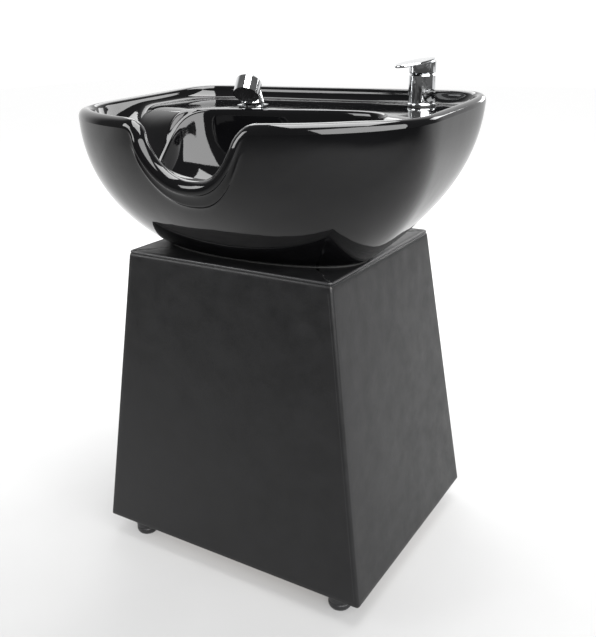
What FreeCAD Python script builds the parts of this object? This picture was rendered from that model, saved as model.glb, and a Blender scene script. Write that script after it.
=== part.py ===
"""Salon backwash basin: a glazed bowl with neck notch, mixer and pull-out spray on an upholstered pedestal.

Millimetres, +Z up, the sitter's neck comes in from -Y. The origin is on the floor, under the middle of
the whole basin. Every piece is drawn about the middle of the pedestal and then moved by centre_y.
"""
import FreeCAD, Part
import math
import os
import re

import Sketcher
from FreeCAD import Vector

doc = FreeCAD.newDocument("backwash_basin")
sheet = doc.addObject("Spreadsheet::Sheet", "sizes")
aliases = []
pieces = []


def write_sizes(group):
    """Write a group of driving sizes into the sheet, each with its name beside it."""
    for alias, value in group.items():
        aliases.append(alias)
        row = len(aliases)
        sheet.set("A%d" % row, alias)
        sheet.set("B%d" % row, str(value))
        sheet.setAlias("B%d" % row, alias)


def link(text):
    """Turn an expression in plain size names into one that points at the sheet."""
    known = set(aliases)
    return re.sub(r"[A-Za-z_]\w*", lambda m: "sizes." + m.group() if m.group() in known else m.group(), text)


def read(text):
    """Value of an expression of size names."""
    value = sheet.evalExpression(text)
    return float(getattr(value, "Value", value))


# Pedestal: a tapered plywood box under leatherette
PEDESTAL_SIZES = {
    "top_width": 406,
    "top_depth": 374,
    "bottom_width": 552,
    "bottom_depth": 464,
    "foot_height": 45,
    "pedestal_top": 583,
    "cover_thick": 2,
    "panel_thick": 12,
    "board_thick": 18,
    "rail_width": 72,
    "rail_height": 30,
    "post_width": 34,
    "opening_width": 220,
    "opening_depth": 110,
    "board_chamfer": 5,
    "welt_radius": 2.2,
}
write_sizes(PEDESTAL_SIZES)

# Feet under the base frame
FOOT_SIZES = {
    "foot_radius": 21,
    "foot_inset_x": 56,
    "foot_inset_y": 41,
    "foot_pad_radius": 15,
    "foot_pad_height": 7,
    "stud_radius": 4,
    "stud_grip": 22,
    "running_gap": 0.05,
}
write_sizes(FOOT_SIZES)

# Rear access door, leaning with the back of the pedestal
DOOR_SIZES = {
    "door_width": 240,
    "door_height": 320,
    "door_middle": 310,
    "door_gap": 2,
    "door_seat_gap": 0.3,
    "leaf_thick": 1.5,
    "leaf_width": 22,
    "leaf_height": 50,
    "hinge_inset": 40,
    "knuckle_radius": 3.2,
    "hinge_pin_radius": 1.5,
    "knuckle_gap": 0.3,
    "knob_radius": 11,
    "knob_neck_radius": 6,
    "knob_height": 17,
    "knob_inset": 26,
    "knob_waist_height": 7,
    "knob_round": 3,
    "catch_width": 36,
    "catch_height": 14,
    "catch_depth": 10,
    "catch_overlap": 12,
}
write_sizes(DOOR_SIZES)

# Basin outline at the rim, its belly and its foot
BASIN_SIZES = {
    "basin_width": 652.6,
    "basin_back": 286.2,
    "basin_front": 203.3,
    "basin_y": -80.5,
    "rim_rise": 243.7,
    "rim_slope_share": 0.038,
    "rim_back_power_share": 6.7,
    "rim_front_power_share": 2.19,
    "base_side": 128.5,
    "base_depth": 179.8,
    "base_y": -59.8,
    "base_power_share": 2.2,
    "belly_side_power_share": 2.399,
    "belly_back_power_share": 2.954,
    "belly_front_power_share": 2.724,
    "belly_round_share": 1.101,
    "seal_thick": 2,
    "basin_wall": 13,
    "roll_radius": 10,
    "ring_points": 96,
}
write_sizes(BASIN_SIZES)

# Neck notch, tap deck and inner bowl
BOWL_SIZES = {
    "notch_width": 198.6,
    "notch_depth": 90,
    "notch_shift": 11.2,
    "notch_soft_share": 0.05,
    "notch_side_power_share": 2.4,
    "notch_round_share": 0.78,
    "flange_reach": 5,
    "flange_width": 30,
    "flange_start_share": 0.1,
    "flange_full_share": 0.27,
    "deck_drop": 18.7,
    "deck_slope_share": 0.02,
    "bowl_side": 124.3,
    "bowl_back": 94,
    "bowl_front": 103,
    "bowl_x": 12,
    "bowl_y": -62,
    "bowl_turn": 9,
    "bowl_back_power_share": 3.2,
    "bowl_front_power_share": 2.4,
    "bowl_edge_drop": 2,
    "neck_drop": 110.7,
    "neck_fall_low": -150,
    "neck_fall_length": 145,
    "wall_fall_low": -70,
    "wall_fall_length": 110,
    "floor_drop": 178.7,
    "floor_radius": 32,
}
write_sizes(BOWL_SIZES)

# Drain through the bowl floor
DRAIN_SIZES = {
    "drain_x": 0,
    "drain_y": -60,
    "drain_hole_radius": 22,
    "drain_thread_radius": 21.5,
    "drain_bore_radius": 18,
    "drain_flange_radius": 28,
    "drain_flange_thick": 2,
    "drain_length": 50,
    "strainer_radius": 19.5,
    "strainer_seat": 5,
    "strainer_thick": 2.5,
    "strainer_knob_radius": 4,
    "strainer_knob_height": 9,
    "strainer_hole_radius": 2.2,
    "strainer_hole_circle": 12.5,
    "strainer_holes": 8,
    "gasket_thick": 1.5,
    "drain_nut_radius": 28,
    "drain_nut_height": 9,
}
write_sizes(DRAIN_SIZES)

# Waste pipes with a water trap
WASTE_SIZES = {
    "pipe_radius": 20,
    "pipe_wall": 1.8,
    "tail_nut_radius": 26,
    "tail_nut_height": 24,
    "trap_top": 470,
    "trap_drop": 110,
    "trap_bend": 45,
    "trap_lift": 70,
    "over_lift": 70,
    "waste_gap": 12,
    "waste_end_height": 20,
}
write_sizes(WASTE_SIZES)

# Mixer on the right of the deck
MIXER_SIZES = {
    "mixer_side": 125.3,
    "mixer_y": 141,
    "tap_seat_radius": 30,
    "tap_under_radius": 26,
    "deck_thick": 12,
    "mixer_hole_radius": 17.5,
    "mixer_gasket_radius": 24,
    "mixer_ring_radius": 25,
    "mixer_ring_height": 5,
    "mixer_ring_round": 1.5,
    "mixer_radius": 23,
    "mixer_pivot_height": 43.5,
    "dome_radius": 23.6,
    "dome_low": 7.5,
    "dome_top": 14,
    "cartridge_radius": 17.4,
    "cartridge_pocket_radius": 17.5,
    "cartridge_low": 20,
    "cartridge_top": 2,
    "cartridge_nut_top": 8,
    "cartridge_nut_bore_radius": 10.5,
    "turret_radius": 11.9,
    "turret_bore_radius": 6.5,
    "turret_low": 12,
    "turret_floor": 6,
    "turret_top": 5,
    "stem_radius": 4,
    "stem_low": 4,
    "stem_top": 19,
    "lift_pin_radius": 1.5,
    "lift_pin_length": 22,
    "cap_radius": 23.3,
    "cap_bore_radius": 22,
    "cap_low": 12,
    "cap_ceiling": 20,
    "cap_shoulder": 22,
    "cap_boss_radius": 6.5,
    "cap_boss_low": 11,
    "cap_top": 33,
    "lever_slope": 12.5,
    "lever_reach": 48,
    "lever_tip_radius": 14,
    "lever_thick": 3.6,
    "lever_turn": 250,
    "shank_radius": 16.5,
    "shank_grip": 10,
    "shank_length": 46,
    "locknut_radius": 24,
    "locknut_height": 9,
    "nipple_radius": 5,
    "nipple_circle": 10,
    "nipple_grip": 10,
    "nipple_length": 20,
    "nipple_bore_radius": 3,
}
write_sizes(MIXER_SIZES)

# Pull-out spray on the left of the deck
SPRAY_SIZES = {
    "spray_x": -91,
    "spray_y": 52,
    "spray_hole_radius": 17,
    "spray_under_radius": 24,
    "spray_under_reach": 80,
    "holder_gasket_radius": 26,
    "holder_flange_radius": 28.5,
    "holder_flange_top": 4.5,
    "holder_waist_radius": 21,
    "holder_waist_height": 5.6,
    "holder_height": 6.5,
    "holder_top_radius": 17,
    "holder_thread_radius": 16.5,
    "holder_thread_length": 45,
    "holder_nut_radius": 22,
    "holder_nut_height": 10,
    "guide_radius": 14,
    "guide_flange_radius": 15.5,
    "guide_flange_thick": 2,
    "guide_length": 22.5,
    "handle_radius": 12,
    "handle_bore_radius": 9.5,
    "handle_low": 14,
    "bell_low_radius": 21,
    "bell_top_radius": 14.5,
    "bell_top": 31,
    "head_radius": 23,
    "head_length": 34,
    "head_back_radius": 16,
    "head_round": 7,
    "head_forward": 24,
    "head_height": 36,
    "elbow_height": 30,
    "head_tilt": 50,
    "head_turn": 15,
    "head_wall": 1.5,
    "face_thick": 4,
    "face_hole_radius": 1,
    "face_hole_depth": 2,
    "face_hole_rings": 3,
    "hose_radius": 7,
    "hose_bore_radius": 4.5,
    "hose_nut_radius": 11.2,
    "hose_nut_height": 14,
    "hose_lead": 30,
    "hose_side_x": 82,
    "hose_side_y": -27,
    "hose_bend_low": 600,
    "hose_top_low": 655,
    "hose_shoulder_x": 115,
    "hose_shoulder_y": 95,
    "hose_shoulder_z": 665,
    "hose_loop_x": 95,
    "hose_loop_y": -40,
    "hose_loop_top": 420,
    "hose_loop_middle": 265,
    "hose_loop_low": 110,
    "hose_bend_share": 0.45,
}
write_sizes(SPRAY_SIZES)

# Locating ring inside the foot of the basin
RING_SIZES = {
    "ring_gap": 1.5,
    "ring_height": 12,
    "seal_inset": 1,
    "seal_width": 11,
}
write_sizes(RING_SIZES)

# Shared by all cuts: how far a cut runs past what it cuts
SHARED_SIZES = {
    "overrun": 4,
    "centre_y": 0,
}
write_sizes(SHARED_SIZES)
doc.recompute()

# Heights and places that several pieces share, as expressions of the sizes
SKIRT_TOP = "(pedestal_top - cover_thick)"
BOARD_LOW = "(pedestal_top - cover_thick - board_thick)"
BASE = "(pedestal_top + seal_thick)"
RIM = "(pedestal_top + seal_thick + rim_rise)"
DECK = "(pedestal_top + seal_thick + rim_rise - deck_drop)"
FLOOR = "(pedestal_top + seal_thick + rim_rise - floor_drop)"
FLOOR_UNDER = "(" + FLOOR + " - basin_wall)"
MIXER_SEAT = "(" + DECK + " + deck_slope_share * (mixer_y - tap_seat_radius))"
SPRAY_SEAT = "(" + DECK + " + deck_slope_share * (spray_y - tap_seat_radius))"
MIXER_X = "(basin_width / 2 - mixer_side)"
TRAP_LOW = "(trap_top - trap_drop)"
TRAP_RISE = "(trap_top - trap_drop + trap_lift)"
WALL_OUT = "cover_thick"
WALL_IN = "cover_thick + panel_thick"
FRAME_IN = WALL_IN + " + rail_width"
PIVOT = "(" + MIXER_SEAT + " + mixer_pivot_height)"
LEAN = "atan((bottom_depth - top_depth) / 2 / (pedestal_top - foot_height))"


def half_width(z, inset="0"):
    """Half the pedestal's width at a height, less an inset, as an expression."""
    spread = "(bottom_width - top_width) / 2 * (pedestal_top - (%s)) / (pedestal_top - foot_height)" % z
    return "(top_width / 2 + %s - (%s))" % (spread, inset)


def half_depth(z, inset="0"):
    """Half the pedestal's depth at a height, less an inset, as an expression."""
    spread = "(bottom_depth - top_depth) / 2 * (pedestal_top - (%s)) / (pedestal_top - foot_height)" % z
    return "(top_depth / 2 + %s - (%s))" % (spread, inset)


def place(thing, x="0", y="0", z="0"):
    """Put a piece at a point given from the middle of the pedestal on the floor."""
    thing.setExpression("Placement.Base.x", link(x))
    thing.setExpression("Placement.Base.y", link("centre_y + (%s)" % y))
    thing.setExpression("Placement.Base.z", link(z))


def turn(thing, axis, angle):
    """Turn a piece about an axis through its own origin, by an angle expression in degrees."""
    thing.Placement = FreeCAD.Placement(thing.Placement.Base, FreeCAD.Rotation(axis, 1))
    thing.setExpression("Placement.Rotation.Angle", link(angle))


def shift(thing, x="0", y="0", z="0"):
    """Move a part of a piece within the piece's own frame."""
    thing.setExpression("Placement.Base.x", link(x))
    thing.setExpression("Placement.Base.y", link(y))
    thing.setExpression("Placement.Base.z", link(z))


def place_on_back(thing):
    """Put a piece drawn about the door's middle onto the leaning back of the pedestal."""
    turn(thing, Vector(1, 0, 0), LEAN)
    place(thing, "0", half_depth("door_middle"), "door_middle")


def keep(thing, label):
    """Name a finished piece and put it on the list that is written out."""
    thing.Label = label
    pieces.append(thing)
    return thing


def new_body(label):
    """A new body for one piece."""
    return doc.addObject("PartDesign::Body", label + "_body")


def own_plane(body, role):
    """One of a body's own origin planes."""
    return [item for item in body.Origin.OriginFeatures if item.Role == role][0]


def start_sketch(body, name, role, height):
    """An empty sketch on one of the body's planes, raised along its normal."""
    sketch = body.newObject("Sketcher::SketchObject", name)
    sketch.AttachmentSupport = [(own_plane(body, role), "")]
    sketch.MapMode = "FlatFace"
    sketch.setExpression("AttachmentOffset.Base.z", link(height))
    return sketch


def pin_point(sketch, index, position, x, y):
    """Bind a sketch point's two coordinates to expressions."""
    for kind, text in (("DistanceX", x), ("DistanceY", y)):
        value = read(text)
        number = sketch.addConstraint(Sketcher.Constraint(kind, -1, 1, index, position, value))
        sketch.setExpression("Constraints[%d]" % number, link(text))


def outline(body, name, points, role="XY_Plane", height="0"):
    """A closed sketch of straight lines through points given as pairs of expressions."""
    sketch = start_sketch(body, name, role, height)
    corners = [Vector(read(x), read(y), 0) for x, y in points]
    count = len(corners)
    for i in range(count):
        sketch.addGeometry(Part.LineSegment(corners[i], corners[(i + 1) % count]), False)
    for i in range(count):
        sketch.addConstraint(Sketcher.Constraint("Coincident", i, 2, (i + 1) % count, 1))
    for i, (x, y) in enumerate(points):
        pin_point(sketch, i, 1, x, y)
    return sketch


def ring_sketch(body, name, circles, role="XY_Plane", height="0"):
    """A sketch of circles, each a centre and a radius given as expressions."""
    sketch = start_sketch(body, name, role, height)
    for index, (x, y, radius) in enumerate(circles):
        centre = Vector(read(x), read(y), 0)
        sketch.addGeometry(Part.Circle(centre, Vector(0, 0, 1), read(radius)), False)
        pin_point(sketch, index, 3, x, y)
        number = sketch.addConstraint(Sketcher.Constraint("Radius", index, read(radius)))
        sketch.setExpression("Constraints[%d]" % number, link(radius))
    return sketch


def pad(body, sketch, length):
    """Raise a sketch by a length expression."""
    feature = body.newObject("PartDesign::Pad", sketch.Name + "_pad")
    feature.Profile = sketch
    feature.setExpression("Length", link(length))
    return feature


def pocket(body, sketch, length, upwards=False):
    """Cut a sketch into its body, down its normal unless upwards."""
    feature = body.newObject("PartDesign::Pocket", sketch.Name + "_pocket")
    feature.Profile = sketch
    feature.Reversed = upwards
    feature.setExpression("Length", link(length))
    return feature


def turned(label, profile, x="0", y="0", z="0"):
    """A piece turned about a vertical axis: its profile is pairs of radius and height."""
    body = new_body(label)
    sketch = outline(body, label + "_profile", profile, "XZ_Plane")
    feature = body.newObject("PartDesign::Revolution", label + "_turned")
    feature.Profile = sketch
    feature.ReferenceAxis = (sketch, ["V_Axis"])
    feature.Angle = 360
    place(body, x, y, z)
    return keep(body, label)


def sleeve(label, inner, outer, low, high, x="0", y="0", z="0"):
    """A plain turned ring or tube."""
    profile = [(inner, low), (outer, low), (outer, high), (inner, high)]
    return turned(label, profile, x, y, z)


def tapered(label, outlines):
    """A straight-sided loft through outlines, each given as its points and its height."""
    body = new_body(label)
    sketches = []
    for index, (points, height) in enumerate(outlines):
        sketches.append(outline(body, "%s_outline_%d" % (label, index), points, "XY_Plane", height))
    feature = body.newObject("PartDesign::AdditiveLoft", label + "_loft")
    feature.Profile = sketches[0]
    feature.Sections = sketches[1:]
    feature.Ruled = True
    return body


def quarter_points(side, z, outside, inside):
    """One mitred side of the tapered pedestal, cut at a height."""
    wide_out = half_width(z, outside)
    wide_in = half_width(z, inside)
    deep_out = half_depth(z, outside)
    deep_in = half_depth(z, inside)
    if side in ("front", "back"):
        sign = "-" if side == "front" else ""
        return [("-" + wide_out, sign + deep_out), (wide_out, sign + deep_out),
                (wide_in, sign + deep_in), ("-" + wide_in, sign + deep_in)]
    sign = "-" if side == "left" else ""
    return [(sign + wide_out, "-" + deep_out), (sign + wide_out, deep_out),
            (sign + wide_in, deep_in), (sign + wide_in, "-" + deep_in)]


def pedestal_side(name, side, outside, inside, low, high):
    """A wall of the pedestal, mitred at both corners."""
    return tapered(name, [(quarter_points(side, low, outside, inside), low),
                          (quarter_points(side, high, outside, inside), high)])


def rectangle(z, inset):
    """The pedestal's outline at a height, drawn in by an inset."""
    wide = half_width(z, inset)
    deep = half_depth(z, inset)
    return [("-" + wide, "-" + deep), (wide, "-" + deep), (wide, deep), ("-" + wide, deep)]


def box(name, x, y, z):
    """A box primitive with its three lengths bound to expressions."""
    thing = doc.addObject("Part::Box", name)
    thing.setExpression("Length", link(x))
    thing.setExpression("Width", link(y))
    thing.setExpression("Height", link(z))
    return thing


def rod(name, radius, height):
    """A cylinder primitive bound to expressions."""
    thing = doc.addObject("Part::Cylinder", name)
    thing.setExpression("Radius", link(radius))
    thing.setExpression("Height", link(height))
    return thing


def ball(name, radius):
    """A sphere primitive bound to an expression."""
    thing = doc.addObject("Part::Sphere", name)
    thing.setExpression("Radius", link(radius))
    return thing


def cut(name, base, tools):
    """Take tools away from a base, one after another."""
    result = base
    for index, tool in enumerate(tools):
        step = doc.addObject("Part::Cut", "%s_cut_%d" % (name, index))
        step.Base = result
        step.Tool = tool
        result = step
    return result


def fuse(name, things):
    """Join things into one."""
    result = doc.addObject("Part::MultiFuse", name + "_joined")
    result.Shapes = things
    return result


def carried(name, thing):
    """Hold one thing in a frame of its own, so the frame can be placed as a whole."""
    result = doc.addObject("Part::Compound", name + "_carried")
    result.Links = [thing]
    return result


def shaped(label, shape):
    """A piece whose shape is worked out here, placed about the middle of the pedestal."""
    thing = doc.addObject("Part::Feature", label + "_shape")
    thing.Shape = shape
    thing.Placement = FreeCAD.Placement(Vector(0, read("centre_y"), 0), FreeCAD.Rotation())
    return keep(thing, label)


def smooth(share):
    """Ease from 0 to 1."""
    share = min(max(share, 0.0), 1.0)
    return share * share * (3 - 2 * share)


def mix(start, end, share):
    """Value part way from start to end."""
    return start + (end - start) * share


class BasinForm:
    """The basin's surfaces, as rings of points round it. Angles run from +X towards the back."""

    TINY = 1e-3
    # How far down the belly each outer ring lies, and how far round the rolled rim the lip rings lie
    BELLY_SHARES = (1, 0.94, 0.86, 0.75, 0.62, 0.48, 0.33, 0.2, 0.09)
    ROLL_ANGLES = (0, 36, 72, 108, 144, 180)
    # Inner rings from rim to bowl edge: plan share at the back and the sides, then fall share of each
    SHELF_SHARES = ((0.02, 0.05, 0.45, 0.28), (0.05, 0.14, 0.85, 0.5), (0.11, 0.30, 1, 0.72),
                    (0.4, 0.55, 1, 0.88), (0.75, 0.8, 1, 0.96), (0.97, 0.97, 1, 1))
    WELL_ANGLES = (8, 25, 42, 58, 74, 90)
    WELL_POWER_SHARE = 0.7

    def __init__(self):
        names = [name for name in aliases if not name.startswith("door")]
        for name in names:
            setattr(self, name, read(name))
        self.base = read(BASE)
        self.rim = read(RIM)
        self.deck = read(DECK)
        self.floor = read(FLOOR)
        self.bowl_width = self.basin_width - 2 * self.bowl_side
        self.base_width = self.basin_width - 2 * self.base_side
        self.mixer_x = read(MIXER_X)

    def reach(self, angle, wide, deep, power):
        """Distance from the middle to a squared-off oval."""
        across = abs(math.cos(angle) / wide) ** power
        along = abs(math.sin(angle) / deep) ** power
        return (across + along) ** (-1 / power)

    def belly(self, angle, fall, inset=0.0):
        """Outer surface: fall runs from 0 at the rim plane to 1 at the foot."""
        fall = min(max(fall, 0.0), 1.0)

        def swell(power):
            return (1 - fall ** power) ** (1 / self.belly_round_share)

        wide = mix(self.base_width / 2, self.basin_width / 2, swell(self.belly_side_power_share))
        if math.sin(angle) < 0:
            deep = mix(self.base_depth / 2, self.basin_front, swell(self.belly_front_power_share))
            power = mix(self.rim_front_power_share, self.base_power_share, fall)
        else:
            deep = mix(self.base_depth / 2, self.basin_back, swell(self.belly_back_power_share))
            power = mix(self.rim_back_power_share, self.base_power_share, fall)
        far = self.reach(angle, wide - inset, deep - inset, power)
        x = far * math.cos(angle)
        y = mix(self.basin_y, self.base_y, fall * fall) + far * math.sin(angle)
        return Vector(x, y, mix(self.rim + self.rim_slope_share * y, self.base, fall))

    def dip(self, point):
        """How far the neck notch lowers the rim at a point."""
        off = abs(point.x - self.notch_shift) / (self.notch_width / 2)
        across = 1 - off ** self.notch_side_power_share
        soft = 0.5 * (across + math.sqrt(across * across + self.notch_soft_share ** 2))
        return self.notch_depth * soft ** self.notch_round_share * smooth(-point.y / self.basin_front)

    def lip_fall(self, angle):
        """Fall at which the belly meets the rolled rim."""
        fall = 0.0
        for _ in range(12):
            point = self.belly(angle, fall)
            top = self.rim + self.rim_slope_share * point.y
            fall = (self.roll_radius + self.dip(point)) / (top - self.base)
        return fall

    def lip(self, angle):
        """Point where the roll starts, with its outward and upward directions."""
        fall = self.lip_fall(angle)
        start = self.belly(angle, fall)
        ahead = self.belly(angle + self.TINY, self.lip_fall(angle + self.TINY))
        behind = self.belly(angle - self.TINY, self.lip_fall(angle - self.TINY))
        along = (ahead - behind).normalize()
        out = self.belly_normal(angle, fall)
        up = out.cross(along).normalize()
        if up.z < 0:
            up = up * -1
        return start, out, up

    def belly_normal(self, angle, fall):
        """Outward direction of the belly."""
        fall = min(max(fall, self.TINY), 1 - self.TINY)
        side = self.belly(angle + self.TINY, fall) - self.belly(angle - self.TINY, fall)
        down = self.belly(angle, fall + self.TINY) - self.belly(angle, fall - self.TINY)
        out = down.cross(side).normalize()
        here = self.belly(angle, fall)
        if out.dot(here - Vector(0, self.basin_y, here.z)) < 0:
            out = out * -1
        return out

    def flange(self, point, down):
        """How far the belly swells out towards the notch's rolled lip."""
        depth = self.dip(point) / self.notch_depth
        near = smooth((depth - self.flange_start_share) / (self.flange_full_share - self.flange_start_share))
        return self.flange_reach * near * smooth(1 - down / self.flange_width)

    def bowl_edge(self, angle):
        """Edge of the deep bowl, level with the deck at the back and low at the neck."""
        if math.sin(angle) < 0:
            far = self.reach(angle, self.bowl_width / 2, self.bowl_front, self.bowl_front_power_share)
        else:
            far = self.reach(angle, self.bowl_width / 2, self.bowl_back, self.bowl_back_power_share)
        swing = math.radians(self.bowl_turn)
        x = self.bowl_x + far * math.cos(angle + swing)
        y = self.bowl_y + far * math.sin(angle + swing)
        share = smooth((y - self.neck_fall_low) / self.neck_fall_length)
        level = mix(self.rim - self.neck_drop, self.deck + self.deck_slope_share * y, share)
        return Vector(x, y, level)

    def outer_points(self, angle):
        """Belly from the foot up to the roll."""
        fall = self.lip_fall(angle)
        points = []
        for share in self.BELLY_SHARES:
            here = mix(fall, 1, share)
            point = self.belly(angle, here)
            down = (here - fall) * (self.rim - self.base)
            points.append(point + self.belly_normal(angle, here) * self.flange(self.belly(angle, fall), down))
        return points

    def roll_points(self, angle):
        """The rolled rim, from outside over the top to the inside."""
        start, out, up = self.lip(angle)
        start = start + out * self.flange(start, 0)
        middle = start - out * self.roll_radius
        points = []
        for degrees in self.ROLL_ANGLES:
            swing = math.radians(degrees)
            points.append(middle + out * (self.roll_radius * math.cos(swing))
                          + up * (self.roll_radius * math.sin(swing)))
        return points

    def shelf_points(self, angle, inner):
        """From the roll down the inner wall and over the deck or neck rest to the bowl's edge."""
        edge = self.bowl_edge(angle)
        back = smooth((inner.y - self.wall_fall_low) / self.wall_fall_length)
        points = []
        for plan_back, plan_side, fall_back, fall_side in self.SHELF_SHARES:
            plan = mix(plan_side, plan_back, back)
            fall = mix(fall_side, fall_back, back)
            x = mix(inner.x, edge.x, plan)
            y = mix(inner.y, edge.y, plan)
            level = mix(edge.z, self.deck + self.deck_slope_share * y, back)
            points.append(Vector(x, y, mix(inner.z, level, fall)))
        return points

    def well_points(self, angle):
        """The deep bowl's wall, rounded into its flat floor."""
        edge = self.bowl_edge(angle)
        foot = Vector(self.drain_x + self.floor_radius * math.cos(angle),
                      self.drain_y + self.floor_radius * math.sin(angle), self.floor)
        points = []
        for degrees in self.WELL_ANGLES:
            swing = math.radians(degrees)
            plan = 1 - max(math.cos(swing), 0) ** self.WELL_POWER_SHARE
            fall = math.sin(swing) ** self.WELL_POWER_SHARE
            points.append(Vector(mix(edge.x, foot.x, plan), mix(edge.y, foot.y, plan),
                                 mix(edge.z - self.bowl_edge_drop, foot.z, fall)))
        points[-1] = foot
        return points

    def column(self, angle):
        """All ring points of the glazed body at one angle, from foot to bowl floor."""
        roll = self.roll_points(angle)
        return self.outer_points(angle) + roll + self.shelf_points(angle, roll[-1]) + self.well_points(angle)

    def hollow_column(self, angle):
        """Ring points of the hollow between belly and bowl, open at the foot."""
        fall = self.lip_fall(angle)
        points = []
        opening = self.belly(angle, 1, self.basin_wall)
        points.append(Vector(opening.x, opening.y, self.base))
        for share in (0.9, 0.75, 0.6, 0.45, 0.3):
            here = mix(fall, 1, share)
            points.append(self.belly(angle, here) - self.belly_normal(angle, here) * self.basin_wall)
        full = self.column(angle)
        ahead = self.column(angle + self.TINY)
        first = len(self.BELLY_SHARES) + len(self.ROLL_ANGLES)
        well = first + len(self.SHELF_SHARES)
        for row in (first + 2, first + 3, first + 4, well + 1, well + 2, well + 3, well + 4):
            side = ahead[row] - full[row]
            down = full[row + 1] - full[row - 1]
            points.append(full[row] - side.cross(down).normalize() * self.basin_wall)
        points.append(Vector(full[-1].x, full[-1].y, self.floor - self.basin_wall))
        return points

    def angles(self):
        """Column angles, evenly spaced along the rim's own length."""
        count = int(self.ring_points)
        steps = count * 20
        fine = [-math.pi / 2 + 2 * math.pi * i / steps for i in range(steps + 1)]
        rim = [self.belly(angle, self.lip_fall(angle)) for angle in fine]
        run = [0.0]
        for i in range(steps):
            run.append(run[-1] + (rim[i + 1] - rim[i]).Length)
        found = []
        j = 0
        for k in range(count):
            goal = run[-1] * k / count
            while run[j + 1] < goal:
                j += 1
            found.append(mix(fine[j], fine[j + 1], (goal - run[j]) / (run[j + 1] - run[j])))
        return found

    def skin(self, columns):
        """Faces between neighbouring rings, and the first and last rings as wires."""
        count = len(columns)
        stations = [k / count for k in range(count + 1)]
        rings = []
        for row in range(len(columns[0])):
            curve = Part.BSplineCurve()
            curve.interpolate(Points=[column[row] for column in columns], PeriodicFlag=True, Parameters=stations)
            rings.append(curve)
        faces = []
        for low, high in zip(rings, rings[1:]):
            surface = Part.BSplineSurface()
            pairs = [list(pair) for pair in zip(low.getPoles(), high.getPoles())]
            surface.buildFromPolesMultsKnots(pairs, low.getMultiplicities(), (2, 2), low.getKnots(), (0, 1),
                                             True, False, low.Degree, 1)
            faces.append(surface.toShape())
        return faces, Part.Wire([rings[0].toShape()]), Part.Wire([rings[-1].toShape()])

    def front_reach(self):
        """How far the basin reaches to the front."""
        return -min(point.y for angle in self.angles() for point in self.column(angle))

    def solid(self):
        """The whole ceramic body: the glazed skin outside, the hollow under it, and the flat foot."""
        around = self.angles()
        glaze, foot, floor_top = self.skin([self.column(angle) for angle in around])
        hollow, hollow_foot, floor_low = self.skin([self.hollow_column(angle) for angle in around])
        foot_face = Part.makeFace([foot, hollow_foot], "Part::FaceMakerBullseye")
        shell = Part.Shell(glaze + hollow + foot_face.Faces + [Part.Face(floor_top), Part.Face(floor_low)])
        shell.sewShape()
        solid = Part.Solid(shell)
        if solid.Volume < 0:
            solid.reverse()
        return solid


# The sheet's centre_y puts the origin under the middle of the whole basin
form = BasinForm()
basin_shape = form.solid()
size_row = aliases.index("centre_y") + 1
sheet.set("B%d" % size_row, str(round((form.front_reach() - read("bottom_depth / 2")) / 2, 3)))
doc.recompute()

# Basin: glazed ceramic, hollow underneath, with a drain hole and two flat-seated tap holes
glazed = doc.addObject("Part::Feature", "basin_glazed")
glazed.Shape = basin_shape
drain_hole = rod("drain_hole", "drain_hole_radius", "basin_wall + 2 * overrun")
shift(drain_hole, "drain_x", "drain_y", FLOOR_UNDER + " - overrun")
basin_tools = [drain_hole]
for tap, across, seat, under in (("mixer", MIXER_X, MIXER_SEAT, "tap_under_radius"),
                                 ("spray", "spray_x", SPRAY_SEAT, "spray_under_radius")):
    tap_hole = rod(tap + "_hole", tap + "_hole_radius", "deck_thick + 2 * overrun")
    shift(tap_hole, across, tap + "_y", seat + " - deck_thick - overrun")
    tap_seat = rod(tap + "_seat", "tap_seat_radius", "overrun")
    shift(tap_seat, across, tap + "_y", seat)
    reach = "overrun" if tap == "mixer" else "spray_under_reach"
    tap_under = rod(tap + "_under", under, reach)
    shift(tap_under, across, tap + "_y", seat + " - deck_thick - " + reach)
    basin_tools += [tap_hole, tap_seat, tap_under]
basin = cut("basin", glazed, basin_tools)
place(basin)
keep(basin, "basin_bowl")

# Basin foot: a rubber seal on the pedestal's top and a plywood ring that locates it
def foot_face(inset, height):
    """Flat face inside the basin's foot, drawn in by an inset."""
    count = int(form.ring_points)
    points = []
    for k in range(count):
        point = form.belly(2 * math.pi * k / count, 1, inset)
        points.append(Vector(point.x, point.y, height))
    curve = Part.BSplineCurve()
    curve.interpolate(Points=points, PeriodicFlag=True)
    return Part.Face(Part.Wire([curve.toShape()]))


seal_outer = foot_face(form.seal_inset, form.pedestal_top).extrude(Vector(0, 0, form.seal_thick))
seal_inner = foot_face(form.seal_inset + form.seal_width, form.pedestal_top).extrude(Vector(0, 0, form.seal_thick))
shaped("basin_seal", seal_outer.cut(seal_inner))

ring_inset = form.basin_wall + form.ring_gap
ring_disc = foot_face(ring_inset, form.pedestal_top).extrude(Vector(0, 0, form.ring_height))
ring_window = Part.makeBox(form.opening_width, form.opening_depth, form.ring_height,
                           Vector(form.drain_x - form.opening_width / 2, form.drain_y - form.opening_depth / 2,
                                  form.pedestal_top))
shaped("locating_ring", ring_disc.cut(ring_window))

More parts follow.
